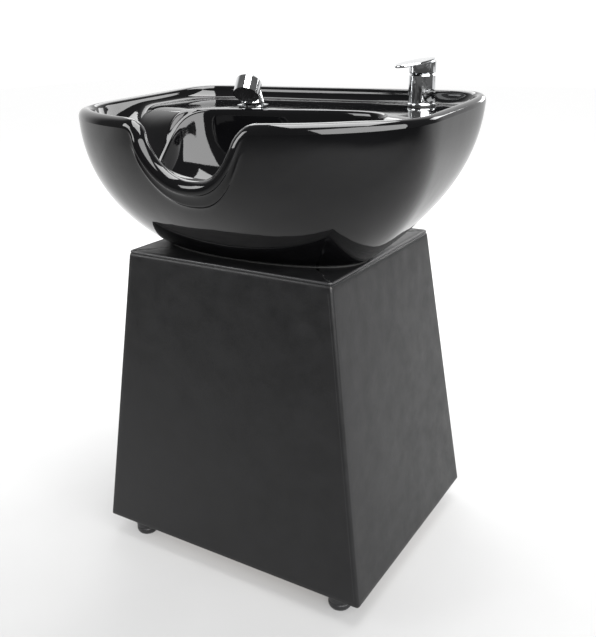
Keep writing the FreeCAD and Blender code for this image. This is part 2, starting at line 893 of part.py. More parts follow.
# Drain: a flanged brass body clamped through the bowl floor, with a lift-out strainer
DRAIN_TOP = "(" + FLOOR + " + gasket_thick + drain_flange_thick)"
DRAIN_LOW = "(" + FLOOR + " + gasket_thick - drain_length)"
STRAINER_SEAT = "(" + FLOOR + " + gasket_thick - strainer_seat)"
sleeve("drain_gasket", "drain_hole_radius", "drain_flange_radius - seal_inset", FLOOR, FLOOR + " + gasket_thick",
       "drain_x", "drain_y")
turned("drain_body", [("drain_bore_radius", DRAIN_LOW), ("drain_thread_radius", DRAIN_LOW),
                      ("drain_thread_radius", FLOOR + " + gasket_thick"),
                      ("drain_flange_radius", FLOOR + " + gasket_thick"),
                      ("drain_flange_radius", DRAIN_TOP + " - drain_flange_thick / 2"),
                      ("drain_flange_radius - drain_flange_thick", DRAIN_TOP),
                      ("strainer_radius + door_seat_gap", DRAIN_TOP),
                      ("strainer_radius + door_seat_gap", STRAINER_SEAT),
                      ("drain_bore_radius", STRAINER_SEAT)], "drain_x", "drain_y")
sleeve("drain_nut", "drain_thread_radius + running_gap", "drain_nut_radius", FLOOR_UNDER + " - drain_nut_height",
       FLOOR_UNDER, "drain_x", "drain_y")

strainer = new_body("drain_strainer")
strainer_profile = outline(strainer, "strainer_profile",
                           [("0", STRAINER_SEAT), ("strainer_radius", STRAINER_SEAT),
                            ("strainer_radius", STRAINER_SEAT + " + strainer_thick"),
                            ("strainer_knob_radius", STRAINER_SEAT + " + strainer_thick"),
                            ("strainer_knob_radius", STRAINER_SEAT + " + strainer_knob_height"),
                            ("0", STRAINER_SEAT + " + strainer_knob_height")], "XZ_Plane")
strainer_disc = strainer.newObject("PartDesign::Revolution", "strainer_disc")
strainer_disc.Profile = strainer_profile
strainer_disc.ReferenceAxis = (strainer_profile, ["V_Axis"])
strainer_disc.Angle = 360
strainer_hole = ring_sketch(strainer, "strainer_hole", [("strainer_hole_circle", "0", "strainer_hole_radius")],
                            "XY_Plane", STRAINER_SEAT + " + strainer_knob_height")
strainer_cut = pocket(strainer, strainer_hole, "strainer_knob_height + overrun")
strainer_holes = strainer.newObject("PartDesign::PolarPattern", "strainer_holes")
strainer_holes.Originals = [strainer_cut]
strainer_holes.Axis = (own_plane(strainer, "Z_Axis"), [""])
strainer_holes.Angle = 360
strainer_holes.setExpression("Occurrences", link("strainer_holes"))
strainer.Tip = strainer_holes
place(strainer, "drain_x", "drain_y")
keep(strainer, "drain_strainer")


# Waste: tailpiece, water trap and outlet pipe, joined by ring nuts
def route(points, radii):
    """A wire of straight runs with an arc at each inner point."""
    edges = []
    start = points[0]
    for index, radius in enumerate(radii):
        corner = points[index + 1]
        before = (points[index] - corner).normalize()
        after = (points[index + 2] - corner).normalize()
        half = before.getAngle(after) / 2
        back = radius / math.tan(half)
        first = corner + before * back
        last = corner + after * back
        middle = corner + (before + after).normalize() * (radius / math.sin(half) - radius)
        if (first - start).Length > form.TINY:
            edges.append(Part.makeLine(start, first))
        edges.append(Part.Arc(first, middle, last).toShape())
        start = last
    if (points[-1] - start).Length > form.TINY:
        edges.append(Part.makeLine(start, points[-1]))
    return Part.Wire(edges)


def piped(path, radius):
    """A solid round bar along a wire."""
    start = path.Edges[0].valueAt(path.Edges[0].FirstParameter)
    direction = path.Edges[0].tangentAt(path.Edges[0].FirstParameter)
    ring = Part.Wire([Part.Circle(start, direction, radius).toShape()])
    return path.makePipeShell([ring], True, False)


def tube(path, radius, bore):
    """A round tube along a wire."""
    return piped(path, radius).cut(piped(path, bore))


TAIL_NUT_LOW = "(" + DRAIN_LOW + " - tail_nut_height / 2)"
turned("tail_nut", [("pipe_radius + running_gap", TAIL_NUT_LOW), ("tail_nut_radius", TAIL_NUT_LOW),
                    ("tail_nut_radius", TAIL_NUT_LOW + " + tail_nut_height"),
                    ("drain_thread_radius + running_gap", TAIL_NUT_LOW + " + tail_nut_height"),
                    ("drain_thread_radius + running_gap", DRAIN_LOW),
                    ("pipe_radius + running_gap", DRAIN_LOW)], "drain_x", "drain_y")
sleeve("tailpiece", "pipe_radius - pipe_wall", "pipe_radius", "trap_top", DRAIN_LOW, "drain_x", "drain_y")
sleeve("trap_nut_in", "pipe_radius + running_gap", "tail_nut_radius", "trap_top - tail_nut_height / 2",
       "trap_top + tail_nut_height / 2", "drain_x", "drain_y")
sleeve("trap_nut_out", "pipe_radius + running_gap", "tail_nut_radius", TRAP_RISE + " - tail_nut_height / 2",
       TRAP_RISE + " + tail_nut_height / 2", "drain_x", "drain_y + 2 * trap_bend")

trap_y = form.drain_y + 2 * form.trap_bend
trap_low = read(TRAP_LOW)
trap_rise = read(TRAP_RISE)
trap_path = route([Vector(form.drain_x, form.drain_y, form.trap_top),
                   Vector(form.drain_x, form.drain_y, trap_low),
                   Vector(form.drain_x, trap_y, trap_low),
                   Vector(form.drain_x, trap_y, trap_rise)], [form.trap_bend, form.trap_bend])
shaped("trap_bend", tube(trap_path, form.pipe_radius, form.pipe_radius - form.pipe_wall))
waste_y = read(half_depth("foot_height", FRAME_IN)) - form.pipe_radius - form.waste_gap
over_height = trap_rise + form.over_lift
over_bend = (waste_y - trap_y) / 2
waste_path = route([Vector(form.drain_x, trap_y, trap_rise),
                    Vector(form.drain_x, trap_y, over_height),
                    Vector(form.drain_x, waste_y, over_height),
                    Vector(form.drain_x, waste_y, form.waste_end_height)], [over_bend, over_bend])
shaped("waste_pipe", tube(waste_path, form.pipe_radius, form.pipe_radius - form.pipe_wall))

# Mixer body: chrome cylinder with a rounded shoulder, standing on a base ring
RING_LOW = "(" + MIXER_SEAT + " + gasket_thick)"
BODY_LOW = "(" + MIXER_SEAT + " + gasket_thick + mixer_ring_height)"
SHANK_LOW = "(" + MIXER_SEAT + " - shank_length)"
MIXER_UNDER = "(" + MIXER_SEAT + " - deck_thick)"
sleeve("mixer_gasket", "mixer_hole_radius", "mixer_gasket_radius", MIXER_SEAT, RING_LOW, MIXER_X, "mixer_y")
turned("mixer_base_ring", [("shank_radius + running_gap", RING_LOW), ("mixer_ring_radius", RING_LOW),
                           ("mixer_ring_radius", BODY_LOW + " - mixer_ring_round"),
                           ("mixer_ring_radius - mixer_ring_round", BODY_LOW),
                           ("shank_radius + running_gap", BODY_LOW)], MIXER_X, "mixer_y")

mixer_core = new_body("mixer_core")
core_profile = outline(mixer_core, "mixer_core_profile",
                       [("shank_radius + running_gap", BODY_LOW), ("mixer_radius", BODY_LOW),
                        ("mixer_radius", PIVOT + " + dome_low"),
                        ("cartridge_pocket_radius", PIVOT + " + dome_low"),
                        ("cartridge_pocket_radius", PIVOT + " - cartridge_low"),
                        ("0", PIVOT + " - cartridge_low"), ("0", BODY_LOW + " + shank_grip"),
                        ("shank_radius + running_gap", BODY_LOW + " + shank_grip")], "XZ_Plane")
core_turn = mixer_core.newObject("PartDesign::Revolution", "mixer_core_turned")
core_turn.Profile = core_profile
core_turn.ReferenceAxis = (core_profile, ["V_Axis"])
core_turn.Angle = 360
dome_ball = doc.addObject("Part::Sphere", "mixer_dome_ball")
dome_ball.setExpression("Radius", link("dome_radius"))
shift(dome_ball, "0", "0", PIVOT)
dome_slab = rod("mixer_dome_slab", "mixer_radius", "dome_top - dome_low")
shift(dome_slab, "0", "0", PIVOT + " + dome_low")
dome_bore = rod("mixer_dome_bore", "cartridge_pocket_radius", "dome_top + overrun")
shift(dome_bore, "0", "0", PIVOT)
dome = doc.addObject("Part::MultiCommon", "mixer_dome")
dome.Shapes = [dome_ball, dome_slab]
mixer_body = fuse("mixer_body", [mixer_core, cut("mixer_dome", dome, [dome_bore])])
place(mixer_body, MIXER_X, "mixer_y")
keep(mixer_body, "mixer_body")

# Cartridge, its ring nut and the turret that swings with the lever
turned("mixer_cartridge", [("0", PIVOT + " - cartridge_low"), ("cartridge_radius", PIVOT + " - cartridge_low"),
                           ("cartridge_radius", PIVOT + " + cartridge_top"),
                           ("turret_radius + running_gap", PIVOT + " + cartridge_top"),
                           ("turret_radius + running_gap", PIVOT + " - turret_low - running_gap"),
                           ("0", PIVOT + " - turret_low - running_gap")], MIXER_X, "mixer_y")
turned("cartridge_nut", [("turret_radius + running_gap", PIVOT + " + cartridge_top"),
                         ("cartridge_radius", PIVOT + " + cartridge_top"),
                         ("cartridge_radius", PIVOT + " + cartridge_nut_top"),
                         ("cartridge_nut_bore_radius", PIVOT + " + cartridge_nut_top"),
                         ("cartridge_nut_bore_radius", PIVOT + " + turret_top + running_gap"),
                         ("turret_radius + running_gap", PIVOT + " + turret_top + running_gap")],
       MIXER_X, "mixer_y")
CROSS = Vector(1, 0, 0)


def cross_rod(name, radius, length):
    """A cylinder lying across the lever, centred on the lift axis."""
    thing = rod(name, radius, length)
    thing.Placement = FreeCAD.Placement(Vector(), FreeCAD.Rotation(CROSS, -90))
    shift(thing, "0", "-(%s) / 2" % length, PIVOT)
    return thing


turret_core = new_body("turret_core")
turret_profile = outline(turret_core, "turret_profile",
                         [("0", PIVOT + " - turret_low"), ("turret_radius", PIVOT + " - turret_low"),
                          ("turret_radius", PIVOT + " + turret_top"),
                          ("turret_bore_radius", PIVOT + " + turret_top"),
                          ("turret_bore_radius", PIVOT + " - turret_floor"),
                          ("0", PIVOT + " - turret_floor")], "XZ_Plane")
turret_turn = turret_core.newObject("PartDesign::Revolution", "turret_turned")
turret_turn.Profile = turret_profile
turret_turn.ReferenceAxis = (turret_profile, ["V_Axis"])
turret_turn.Angle = 360
turret = cut("turret", turret_core, [cross_rod("turret_pin_hole", "lift_pin_radius", "4 * turret_radius")])
turn(turret, Vector(0, 0, 1), "lever_turn")
place(turret, MIXER_X, "mixer_y")
keep(turret, "mixer_turret")

lift_pin = carried("lift_pin", cross_rod("lift_pin_rod", "lift_pin_radius", "lift_pin_length"))
turn(lift_pin, Vector(0, 0, 1), "lever_turn")
place(lift_pin, MIXER_X, "mixer_y")
keep(lift_pin, "lift_pin")

stem_rod = rod("stem_rod", "stem_radius", "stem_low + stem_top")
shift(stem_rod, "0", "0", PIVOT + " - stem_low")
stem = cut("stem", stem_rod, [cross_rod("stem_pin_hole", "lift_pin_radius + running_gap", "4 * stem_radius")])
turn(stem, Vector(0, 0, 1), "lever_turn")
place(stem, MIXER_X, "mixer_y")
keep(stem, "mixer_stem")

# Lever: a hollow cap whose sloping top runs out into a thin oval plate
lever_cap = new_body("lever_cap")
cap_profile = outline(lever_cap, "lever_cap_profile",
                      [("0", PIVOT + " + stem_top"), ("stem_radius", PIVOT + " + stem_top"),
                       ("stem_radius", PIVOT + " + cap_boss_low"), ("cap_boss_radius", PIVOT + " + cap_boss_low"),
                       ("cap_boss_radius", PIVOT + " + cap_ceiling"), ("cap_bore_radius", PIVOT + " + cap_ceiling"),
                       ("cap_bore_radius", PIVOT + " + cap_low"), ("cap_radius", PIVOT + " + cap_low"),
                       ("cap_radius", PIVOT + " + cap_shoulder"), ("0", PIVOT + " + cap_shoulder")], "XZ_Plane")
cap_turn = lever_cap.newObject("PartDesign::Revolution", "lever_cap_turned")
cap_turn.Profile = cap_profile
cap_turn.ReferenceAxis = (cap_profile, ["V_Axis"])
cap_turn.Angle = 360


def lever_top(x):
    """Height of the lever's sloping top at a distance ahead of its axis."""
    return "(%s + cap_top - ((%s) + cap_radius) * tan(lever_slope))" % (PIVOT, x)


lever_side = new_body("lever_side")
side_sketch = outline(lever_side, "lever_side_profile",
                      [("-cap_radius", PIVOT + " + cap_shoulder"), ("cap_radius", PIVOT + " + cap_shoulder"),
                       ("cap_radius", lever_top("cap_radius") + " - lever_thick"),
                       ("lever_reach + lever_tip_radius",
                        lever_top("lever_reach + lever_tip_radius") + " - lever_thick"),
                       ("lever_reach + lever_tip_radius", lever_top("lever_reach + lever_tip_radius")),
                       ("-cap_radius", lever_top("-cap_radius"))], "XZ_Plane")
side_pad = pad(lever_side, side_sketch, "2 * cap_radius")
side_pad.Midplane = True
lever_taper = new_body("lever_taper")
taper_sketch = outline(lever_taper, "lever_taper_profile",
                       [("0", "-cap_radius"), ("lever_reach", "-lever_tip_radius"),
                        ("lever_reach", "lever_tip_radius"), ("0", "cap_radius")], "XY_Plane", PIVOT)
pad(lever_taper, taper_sketch, "cap_top")
lever_round = rod("lever_round", "cap_radius", "cap_top")
shift(lever_round, "0", "0", PIVOT)
lever_tip = rod("lever_tip", "lever_tip_radius", "cap_top")
shift(lever_tip, "lever_reach", "0", PIVOT)
lever_plan = fuse("lever_plan", [lever_round, lever_tip, lever_taper])
lever_plate = doc.addObject("Part::MultiCommon", "lever_plate")
lever_plate.Shapes = [lever_plan, lever_side]
lever = fuse("mixer_lever", [lever_cap, lever_plate])
turn(lever, Vector(0, 0, 1), "lever_turn")
place(lever, MIXER_X, "mixer_y")
keep(lever, "mixer_lever")

# Mixer shank with its locknut and the three connectors screwed into it
NIPPLE_TURNS = (("mixer_outlet", 270), ("hot_inlet", 30), ("cold_inlet", 150))
shank_rod = rod("shank_rod", "shank_radius", "shank_length + gasket_thick + mixer_ring_height + shank_grip")
shift(shank_rod, "0", "0", SHANK_LOW)
nipple_holes = []
for name, degrees in NIPPLE_TURNS:
    nipple_hole = rod(name + "_hole", "nipple_radius", "nipple_grip + overrun")
    across = "nipple_circle * cos(%d)" % degrees
    along = "nipple_circle * sin(%d)" % degrees
    shift(nipple_hole, across, along, SHANK_LOW + " - overrun")
    nipple_holes.append(nipple_hole)
shank = cut("shank", shank_rod, nipple_holes)
place(shank, MIXER_X, "mixer_y")
keep(shank, "mixer_shank")
sleeve("mixer_locknut", "shank_radius + running_gap", "locknut_radius", MIXER_UNDER + " - locknut_height",
       MIXER_UNDER, MIXER_X, "mixer_y")
for name, degrees in NIPPLE_TURNS:
    sleeve(name, "nipple_bore_radius", "nipple_radius", SHANK_LOW + " - nipple_length", SHANK_LOW + " + nipple_grip",
           MIXER_X + " + nipple_circle * cos(%d)" % degrees, "mixer_y + nipple_circle * sin(%d)" % degrees)

# Spray holder: a bell on the deck, clamped from below, with a guide that turns in it
HOLDER_LOW = "(" + SPRAY_SEAT + " + gasket_thick)"
SPRAY_UNDER = "(" + SPRAY_SEAT + " - deck_thick)"
THREAD_LOW = "(" + SPRAY_SEAT + " - holder_thread_length)"
HOLDER_TOP = "(" + SPRAY_SEAT + " + holder_height)"
sleeve("holder_gasket", "spray_hole_radius", "holder_gasket_radius", SPRAY_SEAT, HOLDER_LOW, "spray_x", "spray_y")
turned("spray_holder", [("guide_radius + running_gap", THREAD_LOW), ("holder_thread_radius", THREAD_LOW),
                        ("holder_thread_radius", HOLDER_LOW), ("holder_flange_radius", HOLDER_LOW),
                        ("holder_flange_radius", SPRAY_SEAT + " + holder_flange_top"),
                        ("holder_waist_radius", SPRAY_SEAT + " + holder_waist_height"),
                        ("holder_top_radius", HOLDER_TOP), ("guide_radius + running_gap", HOLDER_TOP)],
       "spray_x", "spray_y")
sleeve("holder_nut", "holder_thread_radius + running_gap", "holder_nut_radius", SPRAY_UNDER + " - holder_nut_height",
       SPRAY_UNDER, "spray_x", "spray_y")
GUIDE_TOP = "(" + HOLDER_TOP + " + guide_flange_thick)"
turned("spray_guide", [("handle_radius + running_gap", HOLDER_TOP + " - guide_length"),
                       ("guide_radius", HOLDER_TOP + " - guide_length"),
                       ("guide_radius", HOLDER_TOP + " + running_gap"),
                       ("guide_flange_radius", HOLDER_TOP + " + running_gap"),
                       ("guide_flange_radius", GUIDE_TOP), ("handle_radius + running_gap", GUIDE_TOP)],
       "spray_x", "spray_y")

# Spray: a tubular handle with a tilted round head, both hollow, and a black face
HANDLE_LOW = "(" + SPRAY_SEAT + " - handle_low)"
HEAD_LEVEL = "(" + SPRAY_SEAT + " + head_height)"


def head_round_body(name, profile):
    """A turned body lying along the head's own axis, from its back to its face."""
    body = new_body(name)
    sketch = outline(body, name + "_profile", profile, "XZ_Plane")
    feature = body.newObject("PartDesign::Revolution", name + "_turned")
    feature.Profile = sketch
    feature.ReferenceAxis = (sketch, ["V_Axis"])
    feature.Angle = 360
    turn(body, Vector(1, 0, 0), "90 + head_tilt")
    shift(body, "0", "head_length / 2 * cos(head_tilt) - head_forward",
          HEAD_LEVEL + " + head_length / 2 * sin(head_tilt)")
    return body


head_outer = head_round_body("head_outer", [("0", "0"), ("head_back_radius", "0"),
                                            ("head_radius", "head_round"), ("head_radius", "head_length"),
                                            ("0", "head_length")])
head_inner = head_round_body("head_inner", [("0", "2 * head_wall"), ("head_back_radius - head_wall", "2 * head_wall"),
                                            ("head_radius - 2 * head_wall", "head_round"),
                                            ("head_radius - 2 * head_wall", "head_length - face_thick"),
                                            ("head_radius - head_wall", "head_length - face_thick"),
                                            ("head_radius - head_wall", "head_length + overrun"),
                                            ("0", "head_length + overrun")])
handle_outer = rod("handle_outer", "handle_radius", "handle_low + elbow_height")
shift(handle_outer, "0", "0", HANDLE_LOW)
elbow_outer = ball("elbow_outer", "handle_radius")
shift(elbow_outer, "0", "0", SPRAY_SEAT + " + elbow_height")
handle_inner = rod("handle_inner", "handle_bore_radius", "handle_low + elbow_height + overrun")
shift(handle_inner, "0", "0", HANDLE_LOW + " - overrun")
elbow_inner = ball("elbow_inner", "handle_bore_radius")
shift(elbow_inner, "0", "0", SPRAY_SEAT + " + elbow_height")
bell_outer = doc.addObject("Part::Cone", "bell_outer")
bell_outer.setExpression("Radius1", link("bell_low_radius"))
bell_outer.setExpression("Radius2", link("bell_top_radius"))
bell_outer.setExpression("Height", link("bell_top - holder_height - guide_flange_thick - door_seat_gap"))
shift(bell_outer, "0", "0", GUIDE_TOP + " + door_seat_gap")
spray_shell = cut("spray_shell", fuse("spray_shell", [head_outer, handle_outer, elbow_outer, bell_outer]),
                  [head_inner, handle_inner, elbow_inner])
turn(spray_shell, Vector(0, 0, 1), "head_turn")
place(spray_shell, "spray_x", "spray_y")
keep(spray_shell, "spray_shell")

face_disc = head_round_body("face_disc", [("0", "head_length - face_thick"),
                                          ("head_radius - head_wall - running_gap", "head_length - face_thick"),
                                          ("head_radius - head_wall - running_gap", "head_length"),
                                          ("0", "head_length")])
face_holes = new_body("face_holes")
hole_rings = []
rings = int(form.face_hole_rings)
for ring in range(1, rings + 1):
    count = 6 * ring
    far = "%d / (%d + 1) * (head_radius - head_wall)" % (ring, rings)
    for step in range(count):
        degrees = 360 * step / count
        hole_rings.append(("%s * cos(%g)" % (far, degrees), "%s * sin(%g)" % (far, degrees), "face_hole_radius"))
holes_sketch = ring_sketch(face_holes, "face_holes_plan", hole_rings, "XY_Plane", "head_length - face_hole_depth")
pad(face_holes, holes_sketch, "face_hole_depth + overrun")
turn(face_holes, Vector(1, 0, 0), "90 + head_tilt")
shift(face_holes, "0", "head_length / 2 * cos(head_tilt) - head_forward",
      HEAD_LEVEL + " + head_length / 2 * sin(head_tilt)")
spray_face = cut("spray_face", face_disc, [face_holes])
turn(spray_face, Vector(0, 0, 1), "head_turn")
place(spray_face, "spray_x", "spray_y")
keep(spray_face, "spray_face")

# Hose: from the mixer's outlet down through the pedestal, round a loop and up into the spray
HOSE_TOP = "(" + HANDLE_LOW + " - hose_nut_height)"
sleeve("hose_nut", "hose_radius + running_gap", "hose_nut_radius", HOSE_TOP, HANDLE_LOW, "spray_x", "spray_y")
outlet_z = read(SHANK_LOW + " - nipple_length")
outlet_y = form.mixer_y - form.nipple_circle
hose_points = [Vector(form.mixer_x, outlet_y, outlet_z),
               Vector(form.mixer_x, outlet_y, outlet_z - form.hose_lead),
               Vector(form.hose_shoulder_x, form.hose_shoulder_y, form.hose_shoulder_z),
               Vector(form.hose_side_x, form.hose_side_y, form.hose_bend_low),
               Vector(form.hose_side_x, form.hose_side_y, read(BOARD_LOW)),
               Vector(form.hose_loop_x, form.hose_loop_y, form.hose_loop_top),
               Vector(form.hose_loop_x, form.hose_loop_y, form.hose_loop_middle),
               Vector(form.hose_loop_x, form.hose_loop_y, form.hose_loop_low),
               Vector(-form.hose_loop_x, form.hose_loop_y, form.hose_loop_low),
               Vector(-form.hose_loop_x, form.hose_loop_y, form.hose_loop_middle),
               Vector(-form.hose_loop_x, form.hose_loop_y, form.hose_loop_top),
               Vector(-form.hose_side_x, form.hose_side_y, read(BOARD_LOW)),
               Vector(-form.hose_side_x, form.hose_side_y, form.hose_bend_low),
               Vector(form.spray_x, form.spray_y, form.hose_top_low),
               Vector(form.spray_x, form.spray_y, read(HANDLE_LOW))]


def hose_route(points):
    """The route with every bend as round as its two runs allow; straight joints are left out."""
    kept = [points[0]]
    for index in range(1, len(points) - 1):
        before = (points[index] - kept[-1]).normalize()
        after = (points[index + 1] - points[index]).normalize()
        if before.getAngle(after) > form.TINY:
            kept.append(points[index])
    kept.append(points[-1])
    radii = []
    for index in range(1, len(kept) - 1):
        before = kept[index - 1] - kept[index]
        after = kept[index + 1] - kept[index]
        half = before.getAngle(after) / 2
        radii.append(form.hose_bend_share * min(before.Length, after.Length) * math.tan(half))
    print("hose bend radii", [round(radius, 1) for radius in radii])
    return route(kept, radii)


hose_path = hose_route(hose_points)
shaped("spray_hose", tube(hose_path, form.hose_radius, form.hose_bore_radius))

# Pedestal carcass: base frame, corner posts, four plywood walls and a top board
FRAME_TOP = "(foot_height + rail_height)"
def corner_points(side_x, side_y, z, outside, inside):
    """A square corner of the pedestal between two insets at a height."""
    wide_out = side_x + half_width(z, outside)
    wide_in = side_x + half_width(z, inside)
    deep_out = side_y + half_depth(z, outside)
    deep_in = side_y + half_depth(z, inside)
    return [(wide_in, deep_in), (wide_out, deep_in), (wide_out, deep_out), (wide_in, deep_out)]


frame_outer = tapered("frame_outer", [(rectangle("foot_height", WALL_IN), "foot_height"),
                                      (rectangle(FRAME_TOP, WALL_IN), FRAME_TOP)])
frame_window = box("frame_window", "2 * " + half_width("foot_height", FRAME_IN),
                   "2 * " + half_depth("foot_height", FRAME_IN), "rail_height + 2 * overrun")
shift(frame_window, "-" + half_width("foot_height", FRAME_IN), "-" + half_depth("foot_height", FRAME_IN),
      "foot_height - overrun")
stud_holes = []
FEET = (("front_left", "-", "-"), ("front_right", "", "-"), ("back_left", "-", ""), ("back_right", "", ""))
for corner, side_x, side_y in FEET:
    stud_hole = rod("stud_hole_" + corner, "stud_radius", "stud_grip + overrun")
    shift(stud_hole, side_x + half_width("foot_height", "foot_inset_x"),
          side_y + half_depth("foot_height", "foot_inset_y"), "foot_height - overrun")
    stud_holes.append(stud_hole)
base_frame = cut("base_frame", frame_outer, [frame_window] + stud_holes)
place(base_frame)
keep(base_frame, "base_frame")

posts = []
for corner, side_x, side_y in FEET:
    foot_end = corner_points(side_x, side_y, FRAME_TOP, WALL_IN, WALL_IN + " + post_width")
    top_end = corner_points(side_x, side_y, BOARD_LOW, WALL_IN, WALL_IN + " + post_width")
    posts.append(tapered("post_" + corner, [(foot_end, FRAME_TOP), (top_end, BOARD_LOW)]))
corner_posts = fuse("corner_posts", posts)
place(corner_posts)
keep(corner_posts, "corner_posts")

# Rear door opening, cut through wall and cover in the leaning frame of the back
door_window = box("door_window", "door_width + 2 * door_gap", "cover_thick + panel_thick + 2 * overrun",
                  "door_height + 2 * door_gap")
shift(door_window, "-door_width / 2 - door_gap", "-cover_thick - panel_thick - overrun",
      "-door_height / 2 - door_gap")
door_cutter = carried("door_cutter", door_window)
turn(door_cutter, Vector(1, 0, 0), LEAN)
shift(door_cutter, "0", half_depth("door_middle"), "door_middle")

COVER_TOP = "(pedestal_top - 2 * welt_radius)"
for side in ("front", "back", "left", "right"):
    wall = pedestal_side("wall_" + side, side, WALL_OUT, WALL_IN, "foot_height", BOARD_LOW)
    cover = pedestal_side("skin_" + side, side, "0", WALL_OUT, "foot_height", COVER_TOP)
    if side == "back":
        wall = cut("wall_back", wall, [door_cutter])
        cover = cut("skin_back", cover, [door_cutter])
    place(wall)
    keep(wall, "panel_" + side)
    place(cover)
    keep(cover, "cover_" + side)


def window_through(name, low, high):
    """The opening for drain and hoses, as a cutter from low to high."""
    window = box(name, "opening_width", "opening_depth", "%s - %s + 2 * overrun" % (high, low))
    shift(window, "drain_x - opening_width / 2", "drain_y - opening_depth / 2", low + " - overrun")
    return window


BOARD_SHOULDER = "(" + SKIRT_TOP + " - board_chamfer)"
board_blank = tapered("board_blank", [(rectangle(BOARD_LOW, WALL_OUT), BOARD_LOW),
                                      (rectangle(BOARD_SHOULDER, WALL_OUT), BOARD_SHOULDER),
                                      (rectangle(SKIRT_TOP, WALL_OUT + " + board_chamfer"), SKIRT_TOP)])
top_board = cut("top_board", board_blank, [window_through("board_window", BOARD_LOW, SKIRT_TOP)])
place(top_board)
keep(top_board, "top_board")

top_skin = tapered("top_skin", [(rectangle(SKIRT_TOP, "2 * welt_radius"), SKIRT_TOP),
                                (rectangle("pedestal_top", "2 * welt_radius"), "pedestal_top")])
cover_top = cut("cover_top", top_skin, [window_through("cover_window", SKIRT_TOP, "pedestal_top")])
place(cover_top)
keep(cover_top, "cover_top")

welt_z = form.pedestal_top - form.welt_radius
welt_x = read(half_width("pedestal_top - welt_radius", "welt_radius"))
welt_y = read(half_depth("pedestal_top - welt_radius", "welt_radius"))
welt_corners = [Vector(0, -welt_y, welt_z), Vector(welt_x, -welt_y, welt_z), Vector(welt_x, welt_y, welt_z),
                Vector(-welt_x, welt_y, welt_z), Vector(-welt_x, -welt_y, welt_z), Vector(0, -welt_y, welt_z)]
welt_path = Part.makePolygon(welt_corners)
welt_circle = Part.Wire([Part.Circle(welt_corners[0], Vector(1, 0, 0), form.welt_radius).toShape()])
shaped("top_welt", welt_path.makePipeShell([welt_circle], True, False, 1))

# Feet and the studs that hold them to the base frame
studs = []
for corner, side_x, side_y in FEET:
    foot_x = side_x + half_width("foot_height", "foot_inset_x")
    foot_y = side_y + half_depth("foot_height", "foot_inset_y")
    turned("foot_" + corner, [("0", "0"), ("foot_pad_radius", "0"), ("foot_radius", "foot_pad_height"),
                              ("foot_radius", "foot_height"), ("stud_radius + running_gap", "foot_height"),
                              ("stud_radius + running_gap", "foot_height - stud_grip"),
                              ("0", "foot_height - stud_grip")], foot_x, foot_y)
    stud = rod("stud_" + corner, "stud_radius", "2 * stud_grip")
    shift(stud, foot_x, foot_y, "foot_height - stud_grip")
    studs.append(stud)
foot_studs = fuse("foot_studs", studs)
place(foot_studs)
keep(foot_studs, "foot_studs")

# Rear access door: a plywood leaf under the same cover, on two hinges, with a knob and a catch
door_board = box("door_board", "door_width", "panel_thick - door_seat_gap", "door_height")
shift(door_board, "-door_width / 2", "-cover_thick - panel_thick + door_seat_gap", "-door_height / 2")
access_door = carried("access_door", door_board)
place_on_back(access_door)
keep(access_door, "access_door")
door_skin = box("door_skin", "door_width", "cover_thick", "door_height")
shift(door_skin, "-door_width / 2", "-cover_thick", "-door_height / 2")
door_cover = carried("door_cover", door_skin)
place_on_back(door_cover)
keep(door_cover, "door_cover")

HINGE_X = "(-door_width / 2 - door_gap / 2)"
HINGE_Y = "(knuckle_radius + knuckle_gap)"
frame_leaves = []
door_leaves = []
for name, sign in (("low", "-"), ("high", "")):
    hinge_z = "(%s(door_height / 2 - hinge_inset) - leaf_height / 2)" % sign
    third = "leaf_height / 3"
    frame_plate = box("frame_plate_" + name, "leaf_width", "leaf_thick", "leaf_height")
    shift(frame_plate, HINGE_X + " - " + HINGE_Y + " - leaf_width", "0", hinge_z)
    frame_leaves.append(frame_plate)
    for level, rise in (("a", "0"), ("b", "2 * " + third)):
        web = box("frame_web_%s_%s" % (name, level), HINGE_Y, "leaf_thick", third)
        shift(web, HINGE_X + " - " + HINGE_Y, "0", hinge_z + " + " + rise)
        knuckle = rod("frame_knuckle_%s_%s" % (name, level), "knuckle_radius", third)
        shift(knuckle, HINGE_X, HINGE_Y, hinge_z + " + " + rise)
        frame_leaves += [web, knuckle]
    pin = rod("hinge_pin_" + name, "hinge_pin_radius", "leaf_height")
    shift(pin, HINGE_X, HINGE_Y, hinge_z)
    frame_leaves.append(pin)
    door_plate = box("door_plate_" + name, "leaf_width", "leaf_thick", "leaf_height")
    shift(door_plate, HINGE_X + " + " + HINGE_Y, "0", hinge_z)
    middle = third + " - 2 * knuckle_gap"
    door_web = box("door_web_" + name, HINGE_Y, "leaf_thick", middle)
    shift(door_web, HINGE_X, "0", hinge_z + " + " + third + " + knuckle_gap")
    door_knuckle = rod("door_knuckle_" + name, "knuckle_radius", middle)
    shift(door_knuckle, HINGE_X, HINGE_Y, hinge_z + " + " + third + " + knuckle_gap")
    door_bore = rod("door_bore_" + name, "hinge_pin_radius + running_gap", "leaf_height")
    shift(door_bore, HINGE_X, HINGE_Y, hinge_z)
    door_leaf = fuse("door_leaf_" + name, [door_plate, door_web, door_knuckle])
    door_leaves.append(cut("door_leaf_" + name, door_leaf, [door_bore]))
frame_hinges = fuse("hinge_frame_leaves", frame_leaves)
place_on_back(frame_hinges)
keep(frame_hinges, "hinge_frame_leaves")
door_hinges = fuse("hinge_door_leaves", door_leaves)
place_on_back(door_hinges)
keep(door_hinges, "hinge_door_leaves")

